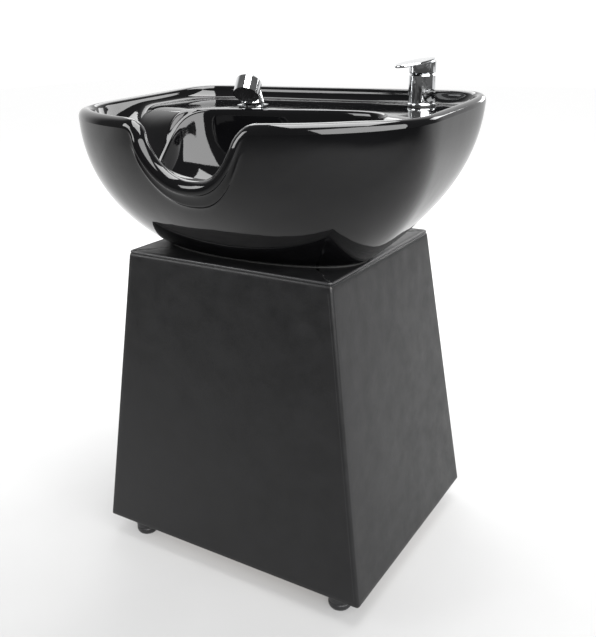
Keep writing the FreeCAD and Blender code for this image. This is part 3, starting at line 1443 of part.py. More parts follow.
knob = turned("door_knob", [("0", "0"), ("knob_neck_radius", "0"), ("knob_neck_radius", "knob_waist_height"),
                            ("knob_radius", "knob_waist_height + knob_round"),
                            ("knob_radius", "knob_height - knob_round"),
                            ("knob_radius - knob_round", "knob_height"), ("0", "knob_height")])
turn(knob, Vector(1, 0, 0), LEAN + " - 90 deg")
place(knob, "door_width / 2 - knob_inset", half_depth("door_middle"), "door_middle")

catch_block = box("catch_block", "catch_width", "catch_depth", "catch_height")
shift(catch_block, "door_width / 2 + door_gap - catch_overlap", "-cover_thick - panel_thick - catch_depth",
      "-catch_height / 2")
door_catch = carried("door_catch", catch_block)
place_on_back(door_catch)
keep(door_catch, "door_catch")

# Check everything, then write one STEP file for each piece
doc.recompute()
faults = []
for thing in doc.Objects:
    if "Invalid" in thing.State or "Error" in thing.State:
        faults.append("%s %s" % (thing.Name, thing.State))
    shape = getattr(thing, "Shape", None)
    if thing in pieces and (shape is None or shape.isNull() or not shape.isValid()):
        faults.append("%s has no valid shape" % thing.Label)
if faults:
    raise RuntimeError("; ".join(faults))

os.makedirs("parts", exist_ok=True)
for piece in pieces:
    piece.Shape.exportStep("parts/%s.step" % piece.Label)
whole = FreeCAD.BoundBox()
for piece in pieces:
    whole.add(piece.Shape.BoundBox)
print(len(pieces), "pieces", whole)
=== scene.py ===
"""A salon backwash basin: glazed bowl, mixer and pull-out spray on an upholstered pedestal."""
import math

import bmesh
import bpy
from mathutils import Matrix, Vector, noise


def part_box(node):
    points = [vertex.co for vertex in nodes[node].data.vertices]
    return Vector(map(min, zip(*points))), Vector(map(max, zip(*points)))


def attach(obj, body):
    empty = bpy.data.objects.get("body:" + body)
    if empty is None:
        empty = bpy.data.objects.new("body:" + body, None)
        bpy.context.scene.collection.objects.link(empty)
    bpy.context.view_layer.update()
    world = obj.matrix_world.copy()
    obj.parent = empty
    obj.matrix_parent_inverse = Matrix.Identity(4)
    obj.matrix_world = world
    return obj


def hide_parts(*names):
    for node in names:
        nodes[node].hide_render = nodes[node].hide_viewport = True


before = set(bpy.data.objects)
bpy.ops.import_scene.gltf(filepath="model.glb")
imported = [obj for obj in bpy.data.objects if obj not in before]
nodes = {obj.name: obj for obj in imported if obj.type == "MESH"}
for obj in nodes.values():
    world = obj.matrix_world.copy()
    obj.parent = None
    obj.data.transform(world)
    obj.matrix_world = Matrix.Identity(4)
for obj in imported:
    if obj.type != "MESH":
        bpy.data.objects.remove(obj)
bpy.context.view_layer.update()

# The carcass: a frame, posts, panels and a top board of birch plywood, glued and screwed.
# The door and the ring that centres the basin are cut from the same sheet.
# The faces show pale rotary-cut grain, and the cut edges carry the same grain.


def new_finish(name, colour, roughness, **values):
    """A material whose even values sit on the shader's own sockets."""
    material = bpy.data.materials.new(name)
    material.use_nodes = True
    shader = material.node_tree.nodes["Principled BSDF"]
    shader.inputs["Base Color"].default_value = (*colour, 1)
    shader.inputs["Roughness"].default_value = roughness
    for socket, value in values.items():
        shader.inputs[socket.replace("_", " ")].default_value = value
    return material


def node_in(material, kind, **settings):
    """A shader node with its settings and plain input values."""
    node = material.node_tree.nodes.new(kind)
    for name, value in settings.items():
        if hasattr(node, name):
            setattr(node, name, value)
        else:
            node.inputs[name.replace("_", " ")].default_value = value
    return node


def pattern(material, kind, stretch=(1, 1, 1), turn=(0, 0, 0), source="Object", **settings):
    """A texture on the piece's own coordinates, stretched and turned."""
    links = material.node_tree.links
    coordinates = node_in(material, "ShaderNodeTexCoord")
    mapping = node_in(material, "ShaderNodeMapping", Scale=stretch, Rotation=turn)
    texture = node_in(material, kind, **settings)
    links.new(coordinates.outputs[source], mapping.inputs["Vector"])
    links.new(mapping.outputs["Vector"], texture.inputs["Vector"])
    return texture


def output_of(texture):
    """The texture's grey output."""
    for name in ("Fac", "Distance"):
        if name in texture.outputs:
            return texture.outputs[name]
    return texture.outputs[0]


def tint(material, texture, *stops):
    """Colour of the surface, from dark to light along the texture."""
    ramp = node_in(material, "ShaderNodeValToRGB")
    while len(ramp.color_ramp.elements) < len(stops):
        ramp.color_ramp.elements.new(0.5)
    for element, (place, colour) in zip(ramp.color_ramp.elements, stops):
        element.position = place
        element.color = (*colour, 1)
    links = material.node_tree.links
    links.new(output_of(texture), ramp.inputs["Fac"])
    links.new(ramp.outputs["Color"], material.node_tree.nodes["Principled BSDF"].inputs["Base Color"])


def polish(material, texture, smoothest, roughest, low=0.3, high=0.7):
    """Roughness that changes a little over the surface."""
    span = node_in(material, "ShaderNodeMapRange")
    span.inputs["From Min"].default_value = low
    span.inputs["From Max"].default_value = high
    span.inputs["To Min"].default_value = smoothest
    span.inputs["To Max"].default_value = roughest
    links = material.node_tree.links
    links.new(output_of(texture), span.inputs["Value"])
    links.new(span.outputs["Result"], material.node_tree.nodes["Principled BSDF"].inputs["Roughness"])


def relief(material, texture, depth, strength=1.0):
    """Fine height of the surface, in metres. Several are laid over each other."""
    shader = material.node_tree.nodes["Principled BSDF"]
    bump = node_in(material, "ShaderNodeBump", Strength=strength, Distance=depth)
    links = material.node_tree.links
    links.new(output_of(texture), bump.inputs["Height"])
    if shader.inputs["Normal"].is_linked:
        links.new(shader.inputs["Normal"].links[0].from_socket, bump.inputs["Normal"])
    links.new(bump.outputs["Normal"], shader.inputs["Normal"])


def wear(material, *names):
    """Give a finish to pieces that keep their own form."""
    for name in names:
        piece = nodes[name]
        piece.data.materials.clear()
        piece.data.materials.append(material)


plywood = new_finish("birch_plywood", (0.52, 0.37, 0.22), 0.62)
grain = pattern(plywood, "ShaderNodeTexNoise", stretch=(9, 9, 1.2), Scale=14, Detail=8, Distortion=1.4)
tint(plywood, grain, (0.3, (0.36, 0.23, 0.12)), (0.52, (0.56, 0.40, 0.24)), (0.75, (0.68, 0.52, 0.34)))
fibre = pattern(plywood, "ShaderNodeTexNoise", stretch=(30, 30, 2), Scale=40, Detail=4)
polish(plywood, fibre, 0.52, 0.74)
relief(plywood, fibre, 0.0002)
wear(plywood, "base_frame", "corner_posts", "panel_front", "panel_back", "panel_left", "panel_right",
     "top_board", "access_door", "locating_ring")

# Four glides: moulded black plastic cups screwed on studs under the corners.
# Each has a rounded foot rim, a shallow groove and a flat top against the frame.
# They carry the pedestal 45 mm off the floor.


def finished(name, form, material, body="base", replaced=(), smooth_angle=35):
    """Turn a modelled form into a finished piece of the object."""
    mesh = bpy.data.meshes.new(name)
    form.to_mesh(mesh)
    form.free()
    mesh.materials.append(material)
    piece = bpy.data.objects.new(name, mesh)
    bpy.context.scene.collection.objects.link(piece)
    mesh.polygons.foreach_set("use_smooth", [True] * len(mesh.polygons))
    if smooth_angle:
        mesh.set_sharp_from_angle(angle=math.radians(smooth_angle))
    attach(piece, body)
    if replaced:
        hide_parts(*replaced)
    return piece


def spun(profile, centre, axis=(0, 0, 1), steps=64):
    """A turned form: radius and height pairs, spun round an axis through the centre."""
    form = bmesh.new()
    points = [form.verts.new((radius, 0, height)) for radius, height in profile]
    edges = [form.edges.new(pair) for pair in zip(points, points[1:])]
    bmesh.ops.spin(form, geom=points + edges, cent=(0, 0, 0), axis=(0, 0, 1), dvec=(0, 0, 0),
                   angle=2 * math.pi, steps=steps, use_merge=True, use_duplicate=False)
    bmesh.ops.remove_doubles(form, verts=form.verts, dist=1e-6)
    bmesh.ops.recalc_face_normals(form, faces=form.faces)
    lean = Vector((0, 0, 1)).rotation_difference(Vector(axis)).to_matrix().to_4x4()
    bmesh.ops.transform(form, matrix=Matrix.Translation(Vector(centre)) @ lean, verts=form.verts)
    return form


def rounded(corners, radius, count=4):
    """A profile with its inner corners rounded."""
    made = [corners[0]]
    for before, here, after in zip(corners, corners[1:], corners[2:]):
        a, b, c = Vector(before), Vector(here), Vector(after)
        back = min(radius, (a - b).length * 0.48, (c - b).length * 0.48)
        start, end = b + (a - b).normalized() * back, b + (c - b).normalized() * back
        for step in range(count + 1):
            share = step / count
            made.append(tuple(start.lerp(b, share).lerp(b.lerp(end, share), share)))
    made.append(corners[-1])
    return made


def middle_of(node):
    """Centre of a piece's box."""
    low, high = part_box(node)
    return (low + high) / 2


black_plastic = new_finish("black_moulded_plastic", (0.012, 0.012, 0.013), 0.42)
pitting = pattern(black_plastic, "ShaderNodeTexNoise", Scale=900, Detail=3)
polish(black_plastic, pitting, 0.34, 0.5)
relief(black_plastic, pitting, 0.00004)

foot_radius = 0.021
foot_height = 0.045
tread_radius = 0.0175
groove_radius = 0.0198
foot_profile = rounded([(0, 0), (tread_radius, 0), (foot_radius, 0.006), (foot_radius, 0.012),
                        (groove_radius, 0.0135), (groove_radius, 0.0155), (foot_radius, 0.017),
                        (foot_radius, foot_height - 0.001), (foot_radius - 0.001, foot_height),
                        (0, foot_height)], 0.002, 3)
for corner in ("front_left", "front_right", "back_left", "back_right"):
    centre = middle_of("foot_" + corner)
    finished("glide_" + corner, spun(foot_profile, (centre.x, centre.y, 0), steps=48), black_plastic,
             replaced=["foot_" + corner])

steel = new_finish("zinc_plated_steel", (0.55, 0.55, 0.54), 0.32, Metallic=1.0)
scuff = pattern(steel, "ShaderNodeTexNoise", stretch=(1, 1, 12), Scale=160, Detail=5)
tint(steel, scuff, (0.3, (0.44, 0.44, 0.43)), (0.7, (0.62, 0.62, 0.60)))
polish(steel, scuff, 0.24, 0.42)
relief(steel, scuff, 0.00003)
wear(steel, "foot_studs")

# The cover: black leatherette, four leaning walls and a flat top, pulled over the panels.
# The corners are sewn, the top edge is piped, the lower edge is turned under and stapled.
# A fine pebbled grain, a dull sheen, and slight pulls towards the piping and the corners.
centre_y = middle_of("top_board").y
pedestal_top = 0.583
skirt_low = 0.045
skirt_high = 0.5812
top_half = Vector((0.203, 0.187))
bottom_half = Vector((0.276, 0.232))
skirt_corner = 0.0055
cloth_thick = 0.0012


def half_size(height):
    """Half the pedestal's width and depth at a height."""
    return top_half.lerp(bottom_half, (pedestal_top - height) / (pedestal_top - skirt_low))


def round_rectangle(half, corner, straight=40, turn=6):
    """Points round a rectangle with rounded corners, and their outward directions."""
    made = []
    signs = ((1, -1), (1, 1), (-1, 1), (-1, -1))
    for number, (across, along) in enumerate(signs):
        heart = Vector((across * (half.x - corner), along * (half.y - corner)))
        first = -math.pi / 2 + number * math.pi / 2
        for step in range(turn + 1):
            swing = first + step / turn * math.pi / 2
            out = Vector((math.cos(swing), math.sin(swing)))
            made.append((heart + out * corner, out))
        follow = signs[(number + 1) % 4]
        goal = Vector((follow[0] * (half.x - corner), follow[1] * (half.y - corner)))
        out = Vector((math.cos(first + math.pi / 2), math.sin(first + math.pi / 2)))
        for step in range(1, straight):
            made.append((heart.lerp(goal, step / straight) + out * corner, out))
    return made


def lofted(rings, closed=False):
    """A skin drawn from ring to ring, started from a circle and extruded to each next ring."""
    form = bmesh.new()
    count = len(rings[0])
    bmesh.ops.create_circle(form, cap_ends=False, radius=1, segments=count)
    form.verts.ensure_lookup_table()
    ring = list(form.verts)
    first_edges = list(form.edges)
    edges = first_edges
    for vertex, place in zip(ring, rings[0]):
        vertex.co = place
    for places in rings[1:]:
        grown = bmesh.ops.extrude_edge_only(form, edges=edges)["geom"]
        fresh = {item for item in grown if isinstance(item, bmesh.types.BMVert)}
        edges = [item for item in grown if isinstance(item, bmesh.types.BMEdge)
                 and item.verts[0] in fresh and item.verts[1] in fresh]
        ring = [next(edge.other_vert(vertex) for edge in vertex.link_edges
                     if edge.other_vert(vertex) in fresh) for vertex in ring]
        for vertex, place in zip(ring, places):
            vertex.co = place
    if closed:
        bmesh.ops.bridge_loops(form, edges=first_edges + edges)
    bmesh.ops.recalc_face_normals(form, faces=form.faces)
    return form


def soft(value):
    """Ease from 0 to 1."""
    value = min(max(value, 0), 1)
    return value * value * (3 - 2 * value)


def pull(place, out, height):
    """How far the cloth stands off its panel: slack waves, and pulls under the piping."""
    slow = noise.noise(Vector((place.x * 9, place.y * 9, height * 5)))
    ripple = noise.noise(Vector((place.x * 34 + 3, place.y * 34, height * 17)))
    crease = noise.noise(Vector((place.x * 60, place.y * 60 + 7, height * 9)))
    near_top = soft((height - 0.44) / 0.14)
    flat = 1 - min(abs(out.x), abs(out.y)) * 1.4
    half = half_size(height)
    inwards = half.x - abs(place.x), half.y - abs(place.y)
    inward = min(inwards) if flat < 1 else max(inwards)
    slack = 0.0006 * slow + 0.00022 * ripple
    pulls = 0.0005 * crease + 0.0003 * ripple
    return flat * soft(inward / 0.03) * (slack + near_top * pulls)


leatherette = new_finish("black_leatherette", (0.008, 0.008, 0.0085), 0.42, IOR=1.40)
pebble = pattern(leatherette, "ShaderNodeTexVoronoi", Scale=820, Randomness=1.0)
mottle = pattern(leatherette, "ShaderNodeTexNoise", Scale=26, Detail=6, Roughness=0.62)
weave = pattern(leatherette, "ShaderNodeTexNoise", Scale=380, Detail=4)
tint(leatherette, mottle, (0.32, (0.0035, 0.0035, 0.0038)), (0.68, (0.0065, 0.0065, 0.007)))
polish(leatherette, mottle, 0.34, 0.48)
relief(leatherette, pebble, 0.00013, 0.8)
relief(leatherette, weave, 0.00012, 0.7)
relief(leatherette, mottle, 0.0012, 0.35)

skirt_rings = []
rows = 78
tuck_depth = 0.0020
tuck_low = skirt_high - 0.0028
for row in range(rows + 1):
    height = skirt_low + (skirt_high - skirt_low) * row / rows
    inset = 0.0002 + tuck_depth * soft((height - tuck_low) / 0.0025)
    ring = []
    for place, out in round_rectangle(half_size(height), skirt_corner):
        stand = pull(place, out, height) - inset
        ring.append((place.x + out.x * stand, place.y + out.y * stand + centre_y, height))
    skirt_rings.append(ring)
turned_under = []
for depth, lift in ((0.001, -0.0012), (0.004, -0.0016), (0.024, -0.0016)):
    turned_under.append([(place.x - out.x * depth, place.y - out.y * depth + centre_y, skirt_low + lift)
                         for place, out in round_rectangle(half_size(skirt_low), skirt_corner)])
skirt = lofted(turned_under[::-1] + skirt_rings)

door_half = Vector((0.122, 0.162))
door_middle = 0.310
lean = math.atan((bottom_half.y - top_half.y) / (pedestal_top - skirt_low))
back_point = Vector((0, half_size(door_middle).y + centre_y, door_middle))
up_back = Vector((0, -math.sin(lean), math.cos(lean)))
back_out = Vector((0, math.cos(lean), math.sin(lean)))
for side in (-1, 1):
    for direction, reach in ((Vector((1, 0, 0)), door_half.x), (up_back, door_half.y)):
        back_faces = [face for face in skirt.faces if face.normal.y > 0.8]
        cut_geometry = set(back_faces)
        for face in back_faces:
            cut_geometry.update(face.edges)
            cut_geometry.update(face.verts)
        bmesh.ops.bisect_plane(skirt, geom=list(cut_geometry), dist=1e-5, plane_no=direction,
                               plane_co=back_point + direction * side * reach)
in_window = []
for face in skirt.faces:
    offset = face.calc_center_median() - back_point
    if face.normal.y > 0.8 and abs(offset.x) < door_half.x and abs(offset.dot(up_back)) < door_half.y:
        in_window.append(face)
bmesh.ops.delete(skirt, geom=in_window, context="FACES")
skirt_piece = finished("cover_skirt", skirt, leatherette,
                       replaced=["cover_front", "cover_back", "cover_left", "cover_right"], smooth_angle=None)
thickness = skirt_piece.modifiers.new("cloth", "SOLIDIFY")
thickness.thickness = cloth_thick
thickness.offset = -1

cap_corner = 0.0065
cap_sink = 0.0001
cap_rows = ((0.0045, -0.0016), (0.003, -0.0006), (0.0042, 0.0), (0.012, 0.0002), (0.03, 0.0001), (0.05, 0.0),
            (0.07, 0.0))
top_rings = []
for inset, lift in cap_rows:
    ring = []
    for place, out in round_rectangle(top_half, cap_corner + max(0, inset - 0.01)):
        spot = place - out * inset
        wave = 0.0002 * noise.noise(Vector((spot.x * 40, spot.y * 40, 2.0)))
        wave = wave if 0.006 < inset < 0.04 else 0
        ring.append((spot.x, spot.y + centre_y, pedestal_top + lift + wave - cap_sink))
    top_rings.append(ring)
window = round_rectangle(Vector((0.110, 0.055)), 0.004)
window_y = centre_y - 0.0605
for depth in (cap_sink, 0.0015):
    top_rings.append([(place.x, place.y + window_y, pedestal_top - depth) for place, out in window])
top_piece = finished("cover_cap", lofted(top_rings), leatherette,
                     replaced=["cover_top"], smooth_angle=None)

# The piping along the top edge: leatherette folded round a cord and sewn between top and walls.
# One length goes round all four sides and meets at the back.
# It is a little glossier than the cover, because it is pulled tight.
piping_finish = new_finish("piping_leatherette", (0.02, 0.02, 0.021), 0.3, IOR=1.5)
pipe_grain = pattern(piping_finish, "ShaderNodeTexNoise", Scale=520, Detail=4)
polish(piping_finish, pipe_grain, 0.24, 0.4)
relief(piping_finish, pipe_grain, 0.00008)
piping_radius = 0.0022
piping_sides = 14
piping_half = top_half - Vector((piping_radius, piping_radius))
piping_rings = []
for place, out in round_rectangle(piping_half, skirt_corner, straight=60, turn=8):
    ring = []
    for step in range(piping_sides):
        swing = 2 * math.pi * step / piping_sides
        reach = piping_radius * math.cos(swing)
        ring.append((place.x + out.x * reach, place.y + out.y * reach + centre_y,
                     skirt_high + piping_radius * math.sin(swing)))
    piping_rings.append(ring)
finished("edge_piping", lofted(piping_rings, closed=True), piping_finish,
         replaced=["top_welt"], smooth_angle=None)

# The corner seams: two rows of short stitches in black thread, either side of each sewn corner.
# The thread is bonded polyester, sunk a little into the leatherette.
# Each stitch is about three millimetres long, and they follow one another every four.
thread = new_finish("black_thread", (0.03, 0.03, 0.031), 0.5)
twist = pattern(thread, "ShaderNodeTexWave", turn=(0.5, 0.6, 0), Scale=500, Distortion=1.0)
tint(thread, twist, (0.2, (0.018, 0.018, 0.019)), (0.8, (0.05, 0.05, 0.052)))
relief(thread, twist, 0.0001)
thread_radius = 0.0004
seam_offset = 0.0075
seam_low, seam_high = skirt_low + 0.012, skirt_high - 0.012
doublings = 7
stitch_pitch = (seam_high - seam_low) / 2 ** doublings
stitch_size = Matrix.Diagonal((thread_radius, thread_radius, stitch_pitch * 0.38, 1))
stitches = bmesh.new()
for across in (-1, 1):
    for along in (-1, 1):
        low, high = half_size(seam_low), half_size(seam_high)
        rise = Vector((across * (high.x - low.x), along * (high.y - low.y), seam_high - seam_low))
        turn_to = Vector((0, 0, 1)).rotation_difference(rise.normalized()).to_matrix().to_4x4()
        for inset in (Vector((thread_radius, seam_offset)), Vector((seam_offset, thread_radius))):
            place = Vector((across * (low.x - inset.x), along * (low.y - inset.y) + centre_y, seam_low))
            stitch_place = Matrix.Translation(place) @ turn_to @ stitch_size
            row = bmesh.ops.create_uvsphere(stitches, u_segments=6, v_segments=4, radius=1,
                                            matrix=stitch_place)["verts"]
            for doubling in range(doublings):
                faces = list({face for vertex in row for face in vertex.link_faces})
                copied = bmesh.ops.duplicate(stitches, geom=row + faces)["geom"]
                fresh = [item for item in copied if isinstance(item, bmesh.types.BMVert)]
                bmesh.ops.translate(stitches, verts=fresh, vec=rise / 2 ** (doublings - doubling))
                row = row + fresh
finished("corner_stitches", stitches, thread, smooth_angle=None)

# The access door at the back: a plywood leaf in the same leatherette, on two steel butt hinges.
# The cover is wrapped over the edges and stapled inside.
# A small turned chrome knob opens it, and a plastic catch holds it.
leaf_half = door_half - Vector((0.002, 0.002))
leaf_rows = ((0.0006, -0.004), (0.0003, -0.0022), (0.0008, -0.0010), (0.0025, -0.0004), (0.012, -0.0003),
             (0.035, -0.0002), (0.06, -0.0003), (0.085, -0.0003), (0.10, -0.0003), (0.112, -0.0003))
door_rings = []
for inset, lift in leaf_rows:
    ring = []
    corner = 0.003 if inset < 0.1 else 0.001
    for place, out in round_rectangle(leaf_half - Vector((inset, inset)), corner):
        wave = 0.0003 * noise.noise(Vector((place.x * 22, place.y * 22, 4.0))) if inset > 0.002 else 0
        spot = back_point + Vector((1, 0, 0)) * place.x + up_back * place.y + back_out * (lift + wave)
        ring.append(tuple(spot))
    door_rings.append(ring)
door_skin = lofted(door_rings)
middle_edges = [edge for edge in door_skin.edges
                if edge.is_boundary and (edge.verts[0].co - back_point).dot(back_out) > -0.001]
bmesh.ops.holes_fill(door_skin, edges=middle_edges, sides=0)
bmesh.ops.recalc_face_normals(door_skin, faces=door_skin.faces)
door_piece = finished("door_leatherette", door_skin, leatherette, body="door",
                      replaced=["door_cover"], smooth_angle=None)
wear(black_plastic, "door_catch")
wear(steel, "hinge_frame_leaves", "hinge_door_leaves")

chrome = new_finish("polished_chrome", (0.62, 0.63, 0.64), 0.05, Metallic=1.0)
smear = pattern(chrome, "ShaderNodeTexNoise", Scale=45, Detail=5)
tint(chrome, smear, (0.3, (0.58, 0.59, 0.60)), (0.7, (0.66, 0.67, 0.68)))
polish(chrome, smear, 0.03, 0.10)
relief(chrome, smear, 0.00025, 0.25)

knob_centre = Vector((middle_of("door_knob").x, back_point.y, door_middle))
knob_profile = rounded([(0, 0.0), (0.0065, 0.0), (0.0062, 0.002), (0.0050, 0.0065), (0.0105, 0.0085),
                        (0.0108, 0.0125), (0.0085, 0.0168), (0, 0.0170)], 0.0022, 4)
finished("chrome_knob", spun(knob_profile, knob_centre, back_out, steps=40), chrome, body="door",
         replaced=["door_knob"])

# The basin: one thick casting of fireclay under a glossy black glaze, hollow below.
# The rim is rolled, a neck notch is let into the front with a bead and a recessed band round it.
# Behind lies a flat tap deck, in front of it the deep bowl; the foot stands on a rubber seal.
rim_width = 0.6526
rim_back = 0.2862
rim_front = 0.2033
rim_y = -0.0805
rim_level = 0.8287
rim_slope = 0.038
base_level = 0.585
foot_width = 0.3956
foot_depth = 0.1798
foot_y = -0.0598
# How roundly the outside falls from rim to foot, and how square the rim and the foot are in plan
shoulder_curve = 1.101
side_curve = 2.399
front_curve = 2.724
back_curve = 2.954
front_squareness = (2.19, 2.2)
back_squareness = (6.7, 2.2)
notch_width = 0.1986
notch_depth = 0.090
notch_shift = 0.0112
notch_squareness = 2.4
notch_steepness = 0.78
notch_ease = 0.05
roll_radius = 0.0100
front_roll = 0.004
band_reach = 0.005
bowl_half = 0.202
bowl_back = 0.094
bowl_front = 0.103
bowl_x = 0.012
bowl_y = -0.062
bowl_turn = math.radians(9)
bowl_front_squareness = 2.4
bowl_back_squareness = 3.2
right_steepness = 0.7
left_steepness = 1.0
neck_level = 0.7184
neck_end = -0.150
neck_run = 0.145
deck_level = 0.8100
deck_slope = 0.02
deck_start = -0.070
deck_run = 0.110
floor_level = 0.650
floor_radius = 0.032
drain_y = -0.060
drain_radius = 0.022
drain_lip = 0.0232
drain_boss = 0.034
wall_thick = 0.013


def mix(low, high, share):
    """The value a share of the way from low to high."""
    return low + (high - low) * share


def oval(angle, wide, deep, squareness):
    """Distance from the middle to a squared-off oval."""
    across = abs(math.cos(angle) / wide) ** squareness
    along = abs(math.sin(angle) / deep) ** squareness
    return (across + along) ** (-1 / squareness)


def belly(angle, fall, inset=0.0):
    """The outside, from the rim at fall 0 to the foot at fall 1."""
    fall = min(max(fall, 0.0), 1.0)
    wide = mix(foot_width / 2, rim_width / 2, (1 - fall ** side_curve) ** (1 / shoulder_curve))
    if math.sin(angle) < 0:
        deep = mix(foot_depth / 2, rim_front, (1 - fall ** front_curve) ** (1 / shoulder_curve))
        squareness = mix(*front_squareness, fall)
    else:
        deep = mix(foot_depth / 2, rim_back, (1 - fall ** back_curve) ** (1 / shoulder_curve))
        squareness = mix(*back_squareness, fall)
    far = oval(angle, wide - inset, deep - inset, squareness)
    y = mix(rim_y, foot_y, fall * fall) + far * math.sin(angle)
    return Vector((far * math.cos(angle), y, mix(rim_level + rim_slope * y, base_level, fall)))


def dip(place):
    """How far the neck notch lowers the rim."""
    across = 1 - (abs(place.x - notch_shift) / (notch_width / 2)) ** notch_squareness
    share = 0.5 * (across + math.hypot(across, notch_ease))
    return notch_depth * share ** notch_steepness * soft(-place.y / rim_front)


def lip_fall(angle):
    """Fall at which the belly meets the rolled rim."""
    fall = 0.0
    for _ in range(14):
        place = belly(angle, fall)
        fall = (roll_radius + dip(place)) / (rim_level + rim_slope * place.y - base_level)
    return fall


def rolled(angle):
    """Radius of the rolled rim, which is fuller along the front."""
    return roll_radius + front_roll * soft((-math.sin(angle) - 0.15) / 0.35)


def belly_out(angle, fall):
    """Outward direction of the belly."""
    fall = min(max(fall, 0.001), 0.999)
    side = belly(angle + 0.001, fall) - belly(angle - 0.001, fall)
    down = belly(angle, fall + 0.001) - belly(angle, fall - 0.001)
    out = down.cross(side).normalized()
    here = belly(angle, fall)
    return out if out.dot(here - Vector((0, rim_y, here.z))) > 0 else -out


def bowl_edge(angle):
    """Edge of the deep bowl, level with the deck at the back and low at the neck."""
    if math.sin(angle) < 0:
        far = oval(angle, bowl_half, bowl_front, bowl_front_squareness)
    else:
        far = oval(angle, bowl_half, bowl_back, bowl_back_squareness)
    x = bowl_x + far * math.cos(angle + bowl_turn)
    y = bowl_y + far * math.sin(angle + bowl_turn)
    level = mix(neck_level, deck_level + deck_slope * y, soft((y - neck_end) / neck_run))
    return Vector((x, y, level))


# Round the notch, from its bead down the outside: how far down, and the share of the band's full stand-off
notch_band = ((0.0, 1.0), (0.0012, 0.98), (0.0030, 0.62), (0.0055, 0.40), (0.010, 0.38), (0.0155, 0.48),
              (0.0195, 0.62), (0.0215, 0.66), (0.0232, 0.42), (0.0262, 0.14), (0.032, 0.0))
outside_shares = (0.08, 0.2, 0.33, 0.46, 0.58, 0.7, 0.8, 0.88, 0.94, 0.975, 1.0)
roll_degrees = range(0, 181, 20)
# From rim to bowl edge: plan share at the back and at the sides, then fall share at the back and at the sides
shelf_shares = ((0.02, 0.05, 0.45, 0.28), (0.05, 0.14, 0.85, 0.5), (0.08, 0.22, 0.97, 0.62),
                (0.11, 0.30, 1, 0.72), (0.25, 0.42, 1, 0.81), (0.4, 0.55, 1, 0.88), (0.58, 0.68, 1, 0.925),
                (0.75, 0.8, 1, 0.96), (0.88, 0.9, 1, 0.985), (0.96, 0.965, 1, 0.997), (0.985, 0.985, 1, 1))
# Over the bowl's rounded edge: how far in and how far down
bowl_lip = ((0.0010, 0.0002), (0.0036, 0.0010), (0.0064, 0.0036), (0.0080, 0.0080), (0.0086, 0.0150))
well_degrees = (12, 20, 30, 40, 50, 60, 70, 80, 90)


def column(angle):
    """Places up the outside, over the rim and down into the bowl, at one angle."""
    fall = lip_fall(angle)
    start = belly(angle, fall)
    ahead = belly(angle + 0.001, lip_fall(angle + 0.001))
    behind = belly(angle - 0.001, lip_fall(angle - 0.001))
    out = belly_out(angle, fall)
    up = out.cross((ahead - behind).normalized()).normalized()
    up = up if up.z > 0 else -up
    near = soft((dip(start) / notch_depth - 0.1) / 0.17)
    height = rim_level - base_level
    made = []
    last = fall + notch_band[-1][0] / height
    for share in reversed(outside_shares):
        made.append(belly(angle, mix(last, 1, share)))
    for distance, stand in reversed(notch_band[1:]):
        here = fall + distance / height
        made.append(belly(angle, here) + belly_out(angle, here) * band_reach * near * stand)
    start = start + out * band_reach * near
    round_in = rolled(angle)
    heart = start - out * round_in
    for degrees in roll_degrees:
        swing = math.radians(degrees)
        made.append(heart + out * round_in * math.cos(swing) + up * round_in * math.sin(swing))
    inner = made[-1]
    edge = bowl_edge(angle)
    back = soft((inner.y - deck_start) / deck_run)
    for plan_back, plan_side, fall_back, fall_side in shelf_shares:
        plan = mix(plan_side, plan_back, back)
        drop = mix(fall_side, fall_back, back)
        y = mix(inner.y, edge.y, plan)
        level = mix(edge.z, deck_level + deck_slope * y, back)
        made.append(Vector((mix(inner.x, edge.x, plan), y, mix(inner.z, level, drop))))
    shelf_end = len(made)
    foot = Vector((floor_radius * math.cos(angle), drain_y + floor_radius * math.sin(angle), floor_level))
    inward = Vector((foot.x - edge.x, foot.y - edge.y, 0)).normalized()
    for reach, drop in bowl_lip:
        made.append(edge + inward * reach - Vector((0, 0, drop)))
    rim_of_bowl = made[-1]
    steepness = mix(right_steepness, left_steepness, soft((-math.cos(angle) - 0.1) / 0.6))
    for degrees in well_degrees:
        swing = math.radians(degrees)
        plan = 1 - max(math.cos(swing), 0) ** steepness
        drop = math.sin(swing) ** steepness
        made.append(Vector((mix(rim_of_bowl.x, foot.x, plan), mix(rim_of_bowl.y, foot.y, plan),
                            mix(rim_of_bowl.z, foot.z, drop))))
    made[-1] = foot
    return made, shelf_end


def whole_column(angle):
    """The closed section: glazed side, drain hole, and the hollow's side back to the foot."""
    made, shelf_end = column(angle)
    ahead = column(angle + 0.001)[0]
    spoke = Vector((math.cos(angle), math.sin(angle), 0))
    drain = Vector((0, drain_y, 0))
    hole = []
    for radius, depth in ((drain_lip, 0), (drain_radius, 0.001), (drain_radius, wall_thick - 0.001),
                          (drain_lip, wall_thick), (drain_boss, wall_thick)):
        hole.append(drain + spoke * radius + Vector((0, 0, floor_level - depth)))
    under = []
    for row in (len(made) - 2, len(made) - 4, len(made) - 6, len(made) - 8, shelf_end - 4, shelf_end - 7):
        side = ahead[row] - made[row]
        down = made[row + 1] - made[row - 1]
        under.append(made[row] - side.cross(down).normalized() * wall_thick)
    fall = lip_fall(angle)
    inside = [belly(angle, mix(fall, 1, share)) - belly_out(angle, mix(fall, 1, share)) * wall_thick
              for share in (0.3, 0.45, 0.6, 0.75, 0.9)]
    opening = belly(angle, 1, wall_thick)
    return made + hole + under + inside + [Vector((opening.x, opening.y, base_level))]


